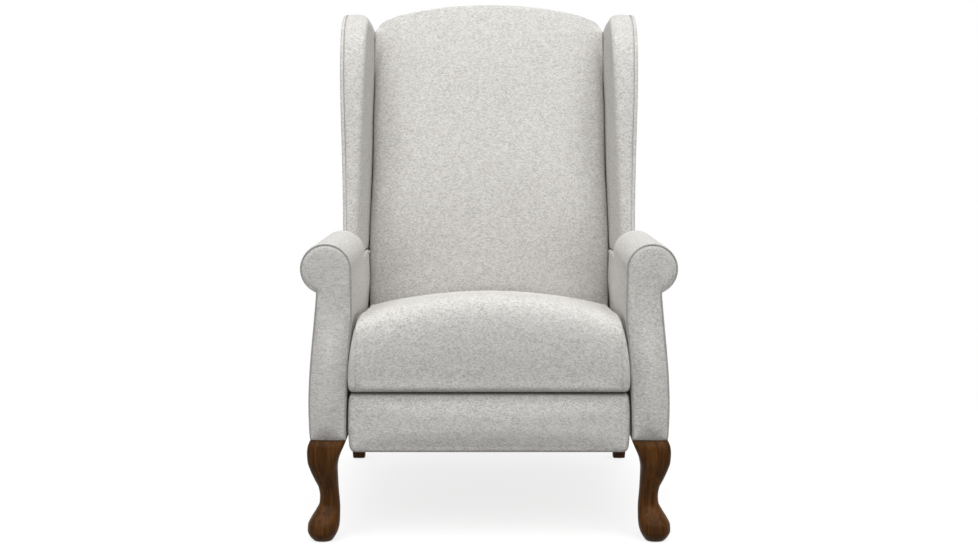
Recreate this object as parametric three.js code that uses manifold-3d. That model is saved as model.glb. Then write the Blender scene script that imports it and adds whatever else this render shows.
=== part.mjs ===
// Wingback recliner with rolled arms, cabriole front legs and a push-back mechanism.
// Millimetres, +Z up. x runs across the chair, the front faces -Y, and y counts back from the arm fronts
// until the last line centres the chair over the origin. Left and right are as seen from the front.
import * as THREE from 'three';
import { mergeVertices } from 'three/addons/utils/BufferGeometryUtils.js';
import Module from 'manifold-3d';

const wasm = await Module();
wasm.setup();

// Driving dimensions
const seam = 0.3; // left between pieces that touch
const overrun = 5; // how far a cutter runs past what it cuts
const legHeight = 219; // floor to the underside of the arms
const armInnerX = 283.4; // half the clear width between the arms
const armRollX = 336.5;
const armRollZ = 581.3;
const armRollRadius = 52.6;
const armLength = 392; // arm front to the end of the roll
const seatDepth = 495; // arm front to the rear of the seat cushion
const seatBottomZ = 324; // seam under the front of the cushion
const seatFrontZ = 480; // cushion's top edge at its front corners
const backHeight = 828; // hinge to the crest, along the back
const backLean = 15.5; // degrees
const backSetback = 65; // the back's hinge behind the seat cushion
const hinge = { y: seatDepth + backSetback, z: 335 };
const sideSetback = 104; // rear of the base behind the hinge
const sideRearY = hinge.y + sideSetback;

// Thicknesses of the flat steel and the planes it lies in, counted out from the centre of the chair
const steel = 3.5;
const layerPitch = 3.9; // a steel thickness and its running gap
const seatPlaneX = 252.3; // seat plates and legrest carriers
const guidePlaneX = seatPlaneX - layerPitch; // legrest guide links
const linkPlaneX = seatPlaneX + layerPitch; // drive links, swing links, legrest brackets
const basePlaneX = linkPlaneX + layerPitch; // base plates, back brackets, legrest control links

// Pivots of the seat and recline linkage, at rest
const swing = { length: 92, lean: 20 };
const swingSetback = { front: 215, rear: 105 }; // how far ahead of the hinge the links stand
const swingFoot = { front: { y: hinge.y - swingSetback.front, z: 238 }, rear: { y: hinge.y - swingSetback.rear, z: 238 } };
const reclineSetback = 66.3;
const reclineFoot = { y: hinge.y - reclineSetback, z: 225 };
const reclineLever = { back: 16.2, down: 30 }; // from the hinge to the back bracket's lower pin

// Pivots of the legrest linkage, at rest; angles are degrees up from straight ahead
const driveRoot = { y: 95, z: 296 };
const drive = { length: 195, angle: -160 };
const driveTail = { length: 14, angle: -103.1 };
const carrier = { length: 202, angle: 11.6 };
const guideOffset = 31;
const bracketArm = { length: 28.6, angle: -60 };

// Finishes
const finish = {
  fabric: new THREE.MeshStandardMaterial({ color: 0xd2cfca, roughness: 0.95, metalness: 0 }),
  lining: new THREE.MeshStandardMaterial({ color: 0x34322f, roughness: 0.95, metalness: 0 }),
  walnut: new THREE.MeshStandardMaterial({ color: 0x4a2c17, roughness: 0.4, metalness: 0 }),
  hardwood: new THREE.MeshStandardMaterial({ color: 0xc29a68, roughness: 0.7, metalness: 0 }),
  steel: new THREE.MeshStandardMaterial({ color: 0x2b2c2e, roughness: 0.45, metalness: 0.8 }),
};
const sides = [{ name: 'left', sign: -1 }, { name: 'right', sign: 1 }];
const chair = new THREE.Group();
const back = new THREE.Group(); // its z runs up the back and its y through it, from the hinge
back.position.set(0, hinge.y, hinge.z);
back.rotation.x = -THREE.MathUtils.degToRad(backLean);
chair.add(back);

// Solids

function volumeOf(geometry) {
  const at = geometry.getAttribute('position');
  const index = geometry.getIndex();
  const [a, b, c] = [new THREE.Vector3(), new THREE.Vector3(), new THREE.Vector3()];
  let sum = 0;
  for (let i = 0; i < index.count; i += 3) {
    a.fromBufferAttribute(at, index.getX(i));
    b.fromBufferAttribute(at, index.getX(i + 1));
    c.fromBufferAttribute(at, index.getX(i + 2));
    sum += a.dot(b.cross(c));
  }
  return sum;
}

function outward(geometry) {
  if (volumeOf(geometry) < 0) geometry.getIndex().array.reverse();
  return geometry;
}

function indexed(positions, triangles) {
  const geometry = new THREE.BufferGeometry();
  geometry.setAttribute('position', new THREE.Float32BufferAttribute(positions, 3));
  geometry.setIndex(triangles);
  return geometry;
}

// A closed skin over rings of points, one after another, with a fan at each end
function loft(rings) {
  const count = rings[0].length;
  const points = rings.flat();
  const triangles = [];
  for (let r = 0; r + 1 < rings.length; r += 1) {
    for (let i = 0; i < count; i += 1) {
      const j = (i + 1) % count;
      const [a, b, c, d] = [r * count + i, r * count + j, (r + 1) * count + j, (r + 1) * count + i];
      triangles.push(a, b, c, a, c, d);
    }
  }
  for (const [ring, start, flip] of [[rings[0], 0, true], [rings.at(-1), points.length - count, false]]) {
    const middle = ring.reduce((sum, p) => sum.map((v, k) => v + p[k] / count), [0, 0, 0]);
    const centre = points.push(middle) - 1;
    for (let i = 0; i < count; i += 1) {
      const [a, b] = [start + i, start + (i + 1) % count];
      triangles.push(centre, flip ? b : a, flip ? a : b);
    }
  }
  return outward(indexed(points.flat(), triangles));
}

function closed(geometry) {
  const bare = geometry.clone();
  bare.deleteAttribute('normal');
  bare.deleteAttribute('uv');
  return mergeVertices(bare);
}

function manifold(geometry) {
  const merged = closed(geometry);
  const vertProperties = new Float32Array(merged.getAttribute('position').array);
  const triVerts = new Uint32Array(merged.getIndex().array);
  return new wasm.Manifold(new wasm.Mesh({ numProp: 3, vertProperties, triVerts }));
}

function geometryFrom(solid) {
  const { vertProperties, triVerts } = solid.getMesh();
  return indexed(Array.from(vertProperties), Array.from(triVerts));
}

function cut(geometry, ...cutters) {
  return geometryFrom(cutters.reduce((solid, cutter) => solid.subtract(manifold(cutter)), manifold(geometry)));
}

function join(...geometries) {
  return geometryFrom(geometries.map(manifold).reduce((a, b) => a.add(b)));
}

function common(first, second) {
  return geometryFrom(manifold(first).intersect(manifold(second)));
}

function box(low, high) {
  const made = new THREE.BoxGeometry(high[0] - low[0], high[1] - low[1], high[2] - low[2]);
  return made.translate((low[0] + high[0]) / 2, (low[1] + high[1]) / 2, (low[2] + high[2]) / 2);
}

// A shape drawn in y and z, given its thickness along x
function sidewise(shape, x, thickness, curveSegments = 6) {
  const made = new THREE.ExtrudeGeometry(shape, { depth: thickness, bevelEnabled: false, curveSegments });
  const turn = new THREE.Matrix4().makeBasis(
    new THREE.Vector3(0, 1, 0), new THREE.Vector3(0, 0, 1), new THREE.Vector3(1, 0, 0));
  return made.applyMatrix4(turn).translate(x, 0, 0);
}

// A shape drawn in x and z, given its depth along y
function frontwise(shape, y, depth, curveSegments = 8) {
  const made = new THREE.ExtrudeGeometry(shape, { depth, bevelEnabled: false, curveSegments });
  return made.rotateX(Math.PI / 2).translate(0, y + depth, 0);
}

function polygon(points) {
  return new THREE.Shape(points.map(([u, v]) => new THREE.Vector2(u, v)));
}

function mirrored(geometry) {
  const made = closed(geometry).scale(-1, 1, 1);
  made.getIndex().array.reverse();
  return made;
}

function onSide(side, geometry) {
  return side.sign > 0 ? geometry : mirrored(geometry);
}

function add(group, name, geometry, material) {
  const mesh = new THREE.Mesh(geometry, material);
  mesh.name = name;
  group.add(mesh);
}

function addPair(group, name, geometry, material) {
  for (const side of sides) add(group, `${name}_${side.name}`, onSide(side, geometry), material);
}

function polar(from, length, angle) {
  const turn = THREE.MathUtils.degToRad(angle);
  return { y: from.y - length * Math.cos(turn), z: from.z + length * Math.sin(turn) };
}

// The points of a closed superellipse; power 2 is an ellipse and a high power nearly a rectangle
function superellipse(count, halfU, halfV, power) {
  return Array.from({ length: count }, (_, i) => {
    const turn = (2 * Math.PI * (i + 0.5)) / count;
    const [c, s] = [Math.cos(turn), Math.sin(turn)];
    const bow = (v) => Math.sign(v) * Math.abs(v) ** (2 / power);
    return [halfU * bow(c), halfV * bow(s)];
  });
}

function table(rows, at) {
  const next = rows.findIndex(([key]) => key >= at);
  if (next <= 0) return rows[next === 0 ? 0 : rows.length - 1].slice(1);
  const [low, high] = [rows[next - 1], rows[next]];
  const share = (at - low[0]) / (high[0] - low[0]);
  return low.slice(1).map((v, k) => v + (high[k + 1] - v) * share);
}

// Legs

const cabriole = { innerX: 299, width: 75.5, frontY: -2.6, corners: 16 };
// share of the leg's height, then inner and outer outline as shares of its width, then how square it is
const cabrioleShares = [
  [1, 0, 1, 9], [0.94, 0.07, 1.075, 7], [0.87, 0.16, 1.1, 5], [0.79, 0.24, 1.09, 4], [0.71, 0.27, 1.035, 3.2],
  [0.6, 0.265, 0.92, 2.8], [0.51, 0.26, 0.815, 2.6], [0.43, 0.245, 0.785, 2.5], [0.36, 0.23, 0.8, 2.5],
  [0.29, 0.22, 0.9, 2.5], [0.22, 0.22, 1.03, 2.4], [0.15, 0.235, 1.12, 2.3], [0.1, 0.27, 1.125, 2.3],
  [0.05, 0.34, 1.07, 2.2], [0, 0.44, 0.95, 2.2],
];

function cabrioleLeg() {
  return loft(cabrioleShares.map(([heightShare, innerShare, outerShare, power]) => {
    const half = ((outerShare - innerShare) * cabriole.width) / 2;
    const out = ((outerShare + innerShare) * cabriole.width) / 2;
    const z = heightShare * legHeight;
    return superellipse(cabriole.corners, half, half, power)
      .map(([u, v]) => [cabriole.innerX + out + u, cabriole.frontY + cabriole.width - out + v, z]);
  }));
}

const rearLegInset = 24; // top of the rear leg ahead of the rear of the base
const rearLeg = {
  x: 331, topWidth: 44, footWidth: 30.4, topY: sideRearY - rearLegInset, rake: 75, squareness: 8, corners: 12,
};

function taperedLeg() {
  return loft([[legHeight, rearLeg.topWidth, rearLeg.topY], [0, rearLeg.footWidth, rearLeg.topY + rearLeg.rake]]
    .map(([z, width, y]) => superellipse(rearLeg.corners, width / 2, width / 2, rearLeg.squareness)
      .map(([u, v]) => [rearLeg.x + u, y + v, z])));
}

addPair(chair, 'front_leg', cabrioleLeg(), finish.walnut);
addPair(chair, 'rear_leg', taperedLeg(), finish.walnut);

// Arms

const armBottomZ = legHeight + seam;
const armFront = { thickness: 16, welt: 3, proud: 1.2, beadSteps: 6 }; // its edge is piped with a round welt
const armBodyY = armFront.thickness + seam;
const armRear = { drop: 13, radius: 50, round: 12 }; // the roll falls and narrows a little towards the wing
const armInner = { bendZ: 478, bottomX: 300, pullX: 298.4, pullZ: 351.5 };
const armOuter = { bottomX: 374, bellyX: 383, bellyZ: 330, waistX: 366, waistZ: 420, notchX: 356.6, notchZ: 532.2 };
const sideFrame = { x: 318, thickness: 22, frontTopZ: 526 };
const sideTop = { z: 557, slope: 124, rearZ: 492 }; // top edge of the side behind the roll, under the wing
const wrap = 2.5; // thickness of the cover where it turns over the side frame's top and rear edges
const cleatReach = 25; // how far the cleat runs ahead of the front swing link
const cleat = { // carries the mechanism, on the side frame
  frontY: swingFoot.front.y - cleatReach, rearY: hinge.y, bottomZ: 222, topZ: 262,
};
const innerArm = { clearY: 110, clearZ: 270 }; // its lower edge is raised for the mechanism
const rearCover = { thickness: 11.7, topZ: 338 };
const railThickness = 22;
const rearRail = { frontY: sideRearY - rearCover.thickness - seam - railThickness, bottomZ: 225, topZ: 312 };

function rollSolid(grow) {
  const stations = [
    [armBodyY - grow, 0, 1], [armLength - armRear.round, 0, 1],
    [armLength - armRear.round / 3, armRear.round / 3, 1], [armLength + grow, armRear.round, 1]];
  return loft(stations.map(([y, inset]) => {
    const share = (y - armBodyY) / (armLength - armBodyY);
    const radius = armRollRadius + (armRear.radius - armRollRadius) * share - inset + grow;
    const z = armRollZ - armRear.drop * share;
    return superellipse(24, radius, radius, 2).map(([u, v]) => [armRollX + u, y, z + v]);
  }));
}

function traceInnerArm(path) {
  path.lineTo(armInnerX, armInner.bendZ);
  path.quadraticCurveTo(armInner.pullX, armInner.pullZ, armInner.bottomX, armBottomZ);
}

function traceOuterArm(path) {
  path.bezierCurveTo(armOuter.bellyX, armOuter.bellyZ, armOuter.waistX, armOuter.waistZ,
    armOuter.notchX, armOuter.notchZ);
}

// The arm's face: a roll on a body that swells towards its foot
function armFaceShape() {
  const face = new THREE.Shape();
  const notch = Math.atan2(armOuter.notchZ - armRollZ, armOuter.notchX - armRollX);
  face.moveTo(armInner.bottomX, armBottomZ);
  face.lineTo(armOuter.bottomX, armBottomZ);
  traceOuterArm(face);
  face.absarc(armRollX, armRollZ, armRollRadius, notch, Math.PI, false);
  traceInnerArm(face);
  return face;
}

// Outline of the side of the base in y and z, from one height at the front to the slope under the wing
function sideOutline(frontY, rearY, frontZ, topZ) {
  const slopeY = sideRearY - sideTop.slope;
  const fall = (sideTop.z - sideTop.rearZ) / sideTop.slope;
  const drop = (rearY - slopeY) * fall + (sideTop.z - topZ);
  return [[frontY, armBottomZ], [rearY, armBottomZ], [rearY, sideTop.z - drop], [slopeY, topZ],
    [armLength - armRear.round, topZ], [armLength - armRear.round, frontZ], [frontY, frontZ]];
}

function armFrontPanel() {
  const points = armFaceShape().getPoints(9);
  const pull = { x: (armInner.bottomX + armOuter.bottomX) / 2 };
  const { welt, proud, beadSteps } = armFront;
  const emerges = Math.asin((welt - proud) / welt);
  const bead = Array.from({ length: beadSteps + 1 }, (_, i) => {
    const turn = emerges + ((Math.PI * 1.4 - emerges) * i) / beadSteps;
    return [welt + welt * Math.cos(turn), welt - proud - welt * Math.sin(turn)];
  });
  const levels = [[armFront.thickness, 0], ...bead, [welt / 2, 4 * welt]];
  const rings = levels.map(([y, inset]) => points.map((p) => {
    const rollward = p.y > armOuter.notchZ - armRollRadius / 4;
    const towards = rollward ? new THREE.Vector2(armRollX, armRollZ) : new THREE.Vector2(pull.x, p.y);
    const aim = towards.sub(p);
    const moved = p.clone().addScaledVector(aim.normalize(), inset);
    return [moved.x, y, Math.max(moved.y, armBottomZ + Math.max(inset, 0))];
  }));
  return capped(rings);
}

// A skin over rings whose flat ends are triangulated, for outlines that aren't round
function capped(rings) {
  const count = rings[0].length;
  const points = rings.flat();
  const triangles = [];
  for (let r = 0; r + 1 < rings.length; r += 1) {
    for (let i = 0; i < count; i += 1) {
      const j = (i + 1) % count;
      const [a, b, c, d] = [r * count + i, r * count + j, (r + 1) * count + j, (r + 1) * count + i];
      triangles.push(a, b, c, a, c, d);
    }
  }
  const flat = (ring) => ring.map(([x, , z]) => new THREE.Vector2(x, z));
  const first = THREE.ShapeUtils.triangulateShape(flat(rings[0]), []);
  const last = THREE.ShapeUtils.triangulateShape(flat(rings.at(-1)), []);
  for (const [a, b, c] of first) triangles.push(a, c, b);
  for (const [a, b, c] of last) triangles.push(points.length - count + a, points.length - count + b, points.length - count + c);
  return outward(indexed(points.flat(), triangles));
}

function innerArmPanel() {
  const section = new THREE.Shape();
  section.moveTo(sideFrame.x - seam, armBottomZ);
  section.lineTo(sideFrame.x - seam, armRollZ);
  section.lineTo(armInnerX, armRollZ);
  traceInnerArm(section);
  const [bottomFront, bottomRear, ...rest] = sideOutline(armBodyY, sideRearY, armRollZ, sideTop.z);
  const railY = rearRail.frontY - seam;
  const outline = polygon([bottomFront, [innerArm.clearY, armBottomZ], [innerArm.clearY, innerArm.clearZ],
    [railY, innerArm.clearZ], [railY, rearCover.topZ + seam], [bottomRear[0], rearCover.topZ + seam], ...rest]);
  const panel = common(frontwise(section, armBodyY, sideRearY - armBodyY),
    sidewise(outline, armInnerX - overrun, armRollX - armInnerX));
  return join(panel, rollSolid(0));
}

function sideFramePanel() {
  const outline = polygon(sideOutline(armBodyY, sideRearY - wrap - seam, sideFrame.frontTopZ,
    sideTop.z - wrap - seam));
  const board = cut(sidewise(outline, sideFrame.x, sideFrame.thickness), rollSolid(seam));
  return join(board, box([basePlaneX + steel + seam, cleat.frontY, cleat.bottomZ],
    [sideFrame.x + sideFrame.thickness / 2, cleat.rearY, cleat.topZ]));
}

function outsideArmPanel() {
  const insideX = sideFrame.x + sideFrame.thickness + seam;
  const section = new THREE.Shape();
  section.moveTo(insideX, armBottomZ);
  section.lineTo(armOuter.bottomX, armBottomZ);
  traceOuterArm(section);
  section.lineTo(armOuter.notchX, sideTop.z);
  section.lineTo(insideX, sideTop.z);
  const outline = polygon(sideOutline(armBodyY, sideRearY, sideTop.z, sideTop.z));
  const panel = common(frontwise(section, armBodyY, sideRearY - armBodyY),
    sidewise(outline, insideX - overrun, armOuter.bellyX - insideX + 2 * overrun));
  return cut(join(panel, edgeCover(outline, insideX + wrap)), rollSolid(seam));
}

// Behind the roll the cover turns inwards over the frame's edges
function edgeCover(outline, toX) {
  const frame = polygon(sideOutline(armBodyY - overrun, sideRearY - wrap, sideTop.z - wrap, sideTop.z - wrap));
  const strip = cut(sidewise(outline, sideFrame.x, toX - sideFrame.x),
    sidewise(frame, sideFrame.x - overrun, toX - sideFrame.x + 2 * overrun));
  return common(strip, box([sideFrame.x - overrun, armLength - armRear.round, armBottomZ],
    [toX + overrun, sideRearY + overrun, sideTop.z + overrun]));
}

addPair(chair, 'arm_front', armFrontPanel(), finish.fabric);
addPair(chair, 'arm_pad', innerArmPanel(), finish.fabric);
addPair(chair, 'side_frame', sideFramePanel(), finish.hardwood);
addPair(chair, 'outside_arm', outsideArmPanel(), finish.fabric);

// Base rails

const crossRail = { thickness: 22, bottomZ: 225 };

function acrossBase(frontY, rearY, bottomZ, topZ) {
  const halfX = sideFrame.x - seam;
  return box([-halfX, frontY, bottomZ], [halfX, rearY, topZ]);
}

add(chair, 'rear_rail', acrossBase(rearRail.frontY, rearRail.frontY + railThickness, rearRail.bottomZ,
  rearRail.topZ), finish.hardwood);
add(chair, 'rear_cover', acrossBase(sideRearY - rearCover.thickness, sideRearY, armBottomZ,
  rearCover.topZ), finish.fabric);
add(chair, 'cross_rail', box([-(sideFrame.x - seam), cleat.rearY + seam, crossRail.bottomZ],
  [sideFrame.x - seam, cleat.rearY + seam + crossRail.thickness, innerArm.clearZ - seam]), finish.hardwood);

// Flat steel links with an eye at each pivot

const eye = { radius: 3.8, pin: 3.5, head: 6, headThickness: 1.5, loose: 7.3, boss: 11.5, segments: 8 };

function stadium(a, b, halfWidth) {
  const along = Math.atan2(b.z - a.z, b.y - a.y);
  const shape = new THREE.Shape();
  shape.absarc(a.y, a.z, halfWidth, along + Math.PI / 2, along + (3 * Math.PI) / 2, false);
  shape.absarc(b.y, b.z, halfWidth, along - Math.PI / 2, along + Math.PI / 2, false);
  return shape;
}

function hole(x, thickness, at, radius = eye.radius) {
  const segments = radius > eye.radius ? 2 * eye.segments : eye.segments;
  const bore = new THREE.CylinderGeometry(radius, radius, thickness + 2 * overrun, segments);
  return bore.rotateZ(Math.PI / 2).translate(x + thickness / 2, at.y, at.z);
}

function bar(points, halfWidth, x, holes = points) {
  const pieces = points.slice(1).map((p, i) => sidewise(stadium(points[i], p, halfWidth), x, steel));
  return cut(join(...pieces), ...holes.map((p) => hole(x, steel, p)));
}

// A link whose far eye is larger than its pin, because that pin doesn't travel on a true arc
function looseBar(from, to, halfWidth, x) {
  const blank = join(bar([from, to], halfWidth, x, [from]), sidewise(stadium(to, to, eye.boss), x, steel));
  return cut(blank, hole(x, steel, from), hole(x, steel, to, eye.loose));
}

// A rivet fixed in the plate at fromX, running out (or in) to toX; a headed one has room beyond it
function stud(at, fromX, toX, headed = true, radius = eye.pin) {
  const length = Math.abs(toX - fromX);
  const tip = headed ? length + eye.headThickness : length;
  const head = headed ? [[radius, length], [eye.head, length], [eye.head, tip]] : [[radius, tip]];
  const profile = [[0, 0], [radius, 0], ...head, [0, tip]].map(([u, v]) => new THREE.Vector2(u, v));
  const made = new THREE.LatheGeometry(profile, eye.segments);
  return made.rotateZ(toX > fromX ? -Math.PI / 2 : Math.PI / 2).translate(fromX, at.y, at.z);
}

// Seat frame and the linkage that carries it

const seatBoxSetback = 30; // rear of the seat frame ahead of the hinge
const seatBox = {
  frontY: 48, rearY: hinge.y - seatBoxSetback, railThickness: 20, sideThickness: 24, bottomZ: 338, topZ: 372,
};
const spring = { wire: 4, pitch: 26, halfWidth: 21, count: 5, spread: 400, ties: [0.3, 0.7] };
const swingTop = (foot) => ({
  y: foot.y + swing.length * Math.sin(THREE.MathUtils.degToRad(swing.lean)),
  z: foot.z + swing.length * Math.cos(THREE.MathUtils.degToRad(swing.lean)),
});
const linkHalfWidth = 11;
const slimHalfWidth = 8;
const plateMargin = 13;

function seatRail(frontY, rearY, halfX) {
  return box([-halfX, frontY, seatBox.bottomZ], [halfX, rearY, seatBox.topZ]);
}

function seatSideRail() {
  const outerX = seatPlaneX - seam;
  return box([outerX - seatBox.sideThickness, seatBox.frontY + seatBox.railThickness + seam, seatBox.bottomZ],
    [outerX, seatBox.rearY - seatBox.railThickness - seam, seatBox.topZ]);
}

// Zigzag wire from the front rail to the rear rail
function zigzagSpring(x) {
  const start = seatBox.frontY + spring.wire;
  const bends = Math.floor((seatBox.rearY - 2 * spring.wire - seatBox.frontY) / spring.pitch);
  const z = seatBox.topZ + spring.wire / 2 + seam;
  const points = [new THREE.Vector3(x, start, z)];
  for (let i = 0; i < bends; i += 1) {
    const side = i % 2 ? -1 : 1;
    points.push(new THREE.Vector3(x + side * spring.halfWidth, start + (i + 0.3) * spring.pitch, z));
    points.push(new THREE.Vector3(x + side * spring.halfWidth, start + (i + 0.7) * spring.pitch, z));
  }
  points.push(new THREE.Vector3(x, start + bends * spring.pitch, z));
  const half = spring.wire / 2;
  return ribbonAlong(points, half);
}

// A square wire through points at one height, mitred at each bend
function ribbonAlong(points, half) {
  const rings = points.map((p, i) => {
    const before = points[Math.max(i - 1, 0)];
    const after = points[Math.min(i + 1, points.length - 1)];
    const heading = new THREE.Vector2(after.x - before.x, after.y - before.y).normalize();
    const across = new THREE.Vector2(-heading.y, heading.x).multiplyScalar(half);
    return [[-1, -1], [1, -1], [1, 1], [-1, 1]]
      .map(([u, v]) => [p.x + across.x * u, p.y + across.y * u, p.z + half * v]);
  });
  return loft(rings);
}

function seatSprings() {
  const gap = spring.spread / (spring.count - 1);
  const zigzags = Array.from({ length: spring.count }, (_, i) => zigzagSpring(i * gap - spring.spread / 2));
  const low = seatBox.topZ + seam;
  const wires = spring.ties.map((share) => {
    const y = seatBox.frontY + share * (seatBox.rearY - seatBox.frontY);
    const halfX = (spring.spread + spring.wire) / 2;
    return box([-halfX, y, low], [halfX, y + spring.wire, low + spring.wire / 2]);
  });
  return join(...zigzags, ...wires);
}

const p0 = driveRoot;
const p1 = polar(p0, drive.length, drive.angle);
const p2 = polar(p1, carrier.length, carrier.angle);
const guideRoot = polar(p0, guideOffset, carrier.angle);
const guideEnd = polar(p1, guideOffset, carrier.angle);
const controlRoot = polar(p1, driveTail.length, driveTail.angle);
const controlEnd = polar(p2, bracketArm.length, bracketArm.angle);
const frontTop = swingTop(swingFoot.front);
const rearTop = swingTop(swingFoot.rear);
const lever = { y: hinge.y - reclineLever.back, z: hinge.z - reclineLever.down };

function seatPlate() {
  const topZ = seatBox.topZ + seam;
  const bottomZ = seatBox.bottomZ - plateMargin;
  const outline = polygon([
    [guideRoot.y - plateMargin, topZ], [guideRoot.y - plateMargin, guideRoot.z - plateMargin],
    [p0.y + plateMargin, p0.z - plateMargin], [frontTop.y - 2 * plateMargin, bottomZ],
    [frontTop.y - plateMargin, frontTop.z - plateMargin], [rearTop.y + plateMargin, rearTop.z - plateMargin],
    [hinge.y, hinge.z - plateMargin], [hinge.y + plateMargin, hinge.z - plateMargin / 2],
    [hinge.y + plateMargin, hinge.z + plateMargin / 2], [hinge.y, hinge.z + plateMargin],
    [seatBox.rearY, topZ]]);
  const reachX = linkPlaneX + steel + seam;
  return join(sidewise(outline, seatPlaneX, steel),
    ...[p0, frontTop, rearTop].map((p) => stud(p, seatPlaneX + steel / 2, reachX)),
    stud(guideRoot, seatPlaneX + steel / 2, guidePlaneX - seam),
    stud(hinge, seatPlaneX + steel / 2, basePlaneX - seam, false, eye.boss),
    stud(hinge, linkPlaneX, basePlaneX + steel + seam));
}

function basePlate() {
  const { front, rear } = swingFoot;
  const outline = polygon([
    [front.y - plateMargin, cleat.topZ], [front.y - plateMargin, reclineFoot.z - plateMargin],
    [reclineFoot.y + plateMargin, reclineFoot.z - plateMargin], [reclineFoot.y + plateMargin, rear.z],
    [rear.y + plateMargin, cleat.topZ]]);
  return join(sidewise(outline, basePlaneX, steel), ...[front, rear, reclineFoot]
    .map((p) => stud(p, basePlaneX + steel / 2, linkPlaneX - seam)));
}

add(chair, 'seat_front_rail', seatRail(seatBox.frontY, seatBox.frontY + seatBox.railThickness,
  seatPlaneX - seam), finish.hardwood);
add(chair, 'seat_rear_rail', seatRail(seatBox.rearY - seatBox.railThickness, seatBox.rearY,
  seatPlaneX - seam), finish.hardwood);
addPair(chair, 'seat_side_rail', seatSideRail(), finish.hardwood);
add(chair, 'seat_springs', seatSprings(), finish.steel);
addPair(chair, 'seat_plate', seatPlate(), finish.steel);
addPair(chair, 'base_plate', basePlate(), finish.steel);
addPair(chair, 'front_swing_link', bar([swingFoot.front, frontTop], linkHalfWidth, linkPlaneX), finish.steel);
addPair(chair, 'rear_swing_link', bar([swingFoot.rear, rearTop], linkHalfWidth, linkPlaneX), finish.steel);
addPair(chair, 'recline_link', looseBar(reclineFoot, lever, linkHalfWidth, linkPlaneX), finish.steel);

// Legrest linkage

function driveLink() {
  return join(bar([p0, p1, controlRoot], linkHalfWidth, linkPlaneX, [p0, p1]),
    stud(controlRoot, linkPlaneX + steel / 2, basePlaneX + steel + seam));
}

// Carrier with a lug under it that holds the flap board
const lug = { fromShare: 0.3, toShare: 0.6, drop: 20, reach: 26 };

function carrierLink() {
  const plate = bar([p1, p2], linkHalfWidth, seatPlaneX, []);
  const flushX = linkPlaneX + steel;
  const [a, b] = [lug.fromShare, lug.toShare].map((s) => polar(p1, carrier.length * s, carrier.angle));
  const [c, d] = [b, a].map((p) => polar(p, lug.drop, carrier.angle - 90));
  const [e, f] = [c, d].map((p) => polar(p, steel, carrier.angle + 90));
  const web = sidewise(polygon([a, b, c, d].map((p) => [p.y, p.z])), seatPlaneX, steel);
  const foot = sidewise(polygon([c, d, f, e].map((p) => [p.y, p.z])), seatPlaneX - lug.reach, lug.reach + steel);
  return join(plate, web, foot, ...[p1, p2].map((p) => stud(p, seatPlaneX + steel / 2, flushX, false)),
    stud(guideEnd, seatPlaneX + steel / 2, guidePlaneX - seam));
}

const flap = { sideGap: 6.4, boardThickness: 11, padThickness: 34, fromShare: 0.04, toShare: 0.74 };

// A board or pad lying along the carrier, between two heights above the line through its pivots
function alongCarrier(low, high) {
  const halfX = guidePlaneX - flap.sideGap;
  const [a, b] = [flap.fromShare, flap.toShare].map((s) => polar(p1, carrier.length * s, carrier.angle));
  const lift = (p, h) => polar(p, h, carrier.angle + 90);
  const corners = [lift(a, low), lift(b, low), lift(b, high), lift(a, high)];
  return sidewise(polygon(corners.map((p) => [p.y, p.z])), -halfX, 2 * halfX);
}

const flapBoardLow = -lug.drop + steel + seam;
const flapPadLow = flapBoardLow + flap.boardThickness + seam;
const torqueTube = { radius: 8, share: 0.83, drop: 11 };

function carrierTube() {
  const at = polar(polar(p1, carrier.length * torqueTube.share, carrier.angle), torqueTube.drop,
    carrier.angle - 90);
  const length = 2 * (seatPlaneX - seam);
  const tube = new THREE.CylinderGeometry(torqueTube.radius, torqueTube.radius, length, 12);
  return tube.rotateZ(Math.PI / 2).translate(0, at.y, at.z);
}

// A cushion lying in x and z whose edges draw in towards its crowned face
function facePad({ halfX, lowZ, highZ, backY, frontY, round, crown, sideSwell }) {
  const halfZ = (highZ - lowZ) / 2;
  const centreZ = (highZ + lowZ) / 2;
  const levels = [[backY, 0], [frontY + round, 0], [frontY + round * 0.4, 0.25], [frontY + round * 0.1, 0.6],
    [frontY, 1]];
  return loft(levels.map(([y, inset]) => superellipse(28, 1, 1, 9).map(([u, v]) => {
    const swell = sideSwell * (1 - v * v);
    const x = u * (halfX + swell - inset * round);
    const z = centreZ + v * (halfZ - inset * round);
    return [x, y - (inset > 0 ? crown * inset * (1 - u * u) : 0), z];
  })));
}

const legrestGap = 10.4; // between the arm's inner face and the flat of the legrest's edge
const legrest = {
  halfX: armInner.pullX - legrestGap, lowZ: 194, highZ: 319, round: 9, crown: 5, sideSwell: 3.5,
  padThickness: 36, boardThickness: 15, boardInset: 8,
};

const flange = { reach: 20, top: 14, bottom: 46 };

function legrestBracket() {
  const backY = legrest.padThickness + legrest.boardThickness + 2 * seam;
  const plate = bar([controlEnd, p2], linkHalfWidth, linkPlaneX, []);
  const arm = box([linkPlaneX, backY, controlEnd.z], [linkPlaneX + steel, p2.y - eye.head, p2.z + linkHalfWidth]);
  const foot = box([linkPlaneX - flange.reach, backY, p2.z - flange.bottom],
    [linkPlaneX + steel, backY + steel, p2.z + flange.top]);
  return join(cut(join(plate, arm, foot), hole(linkPlaneX, steel, p2)),
    stud(controlEnd, linkPlaneX + steel / 2, basePlaneX + steel + seam));
}

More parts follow.
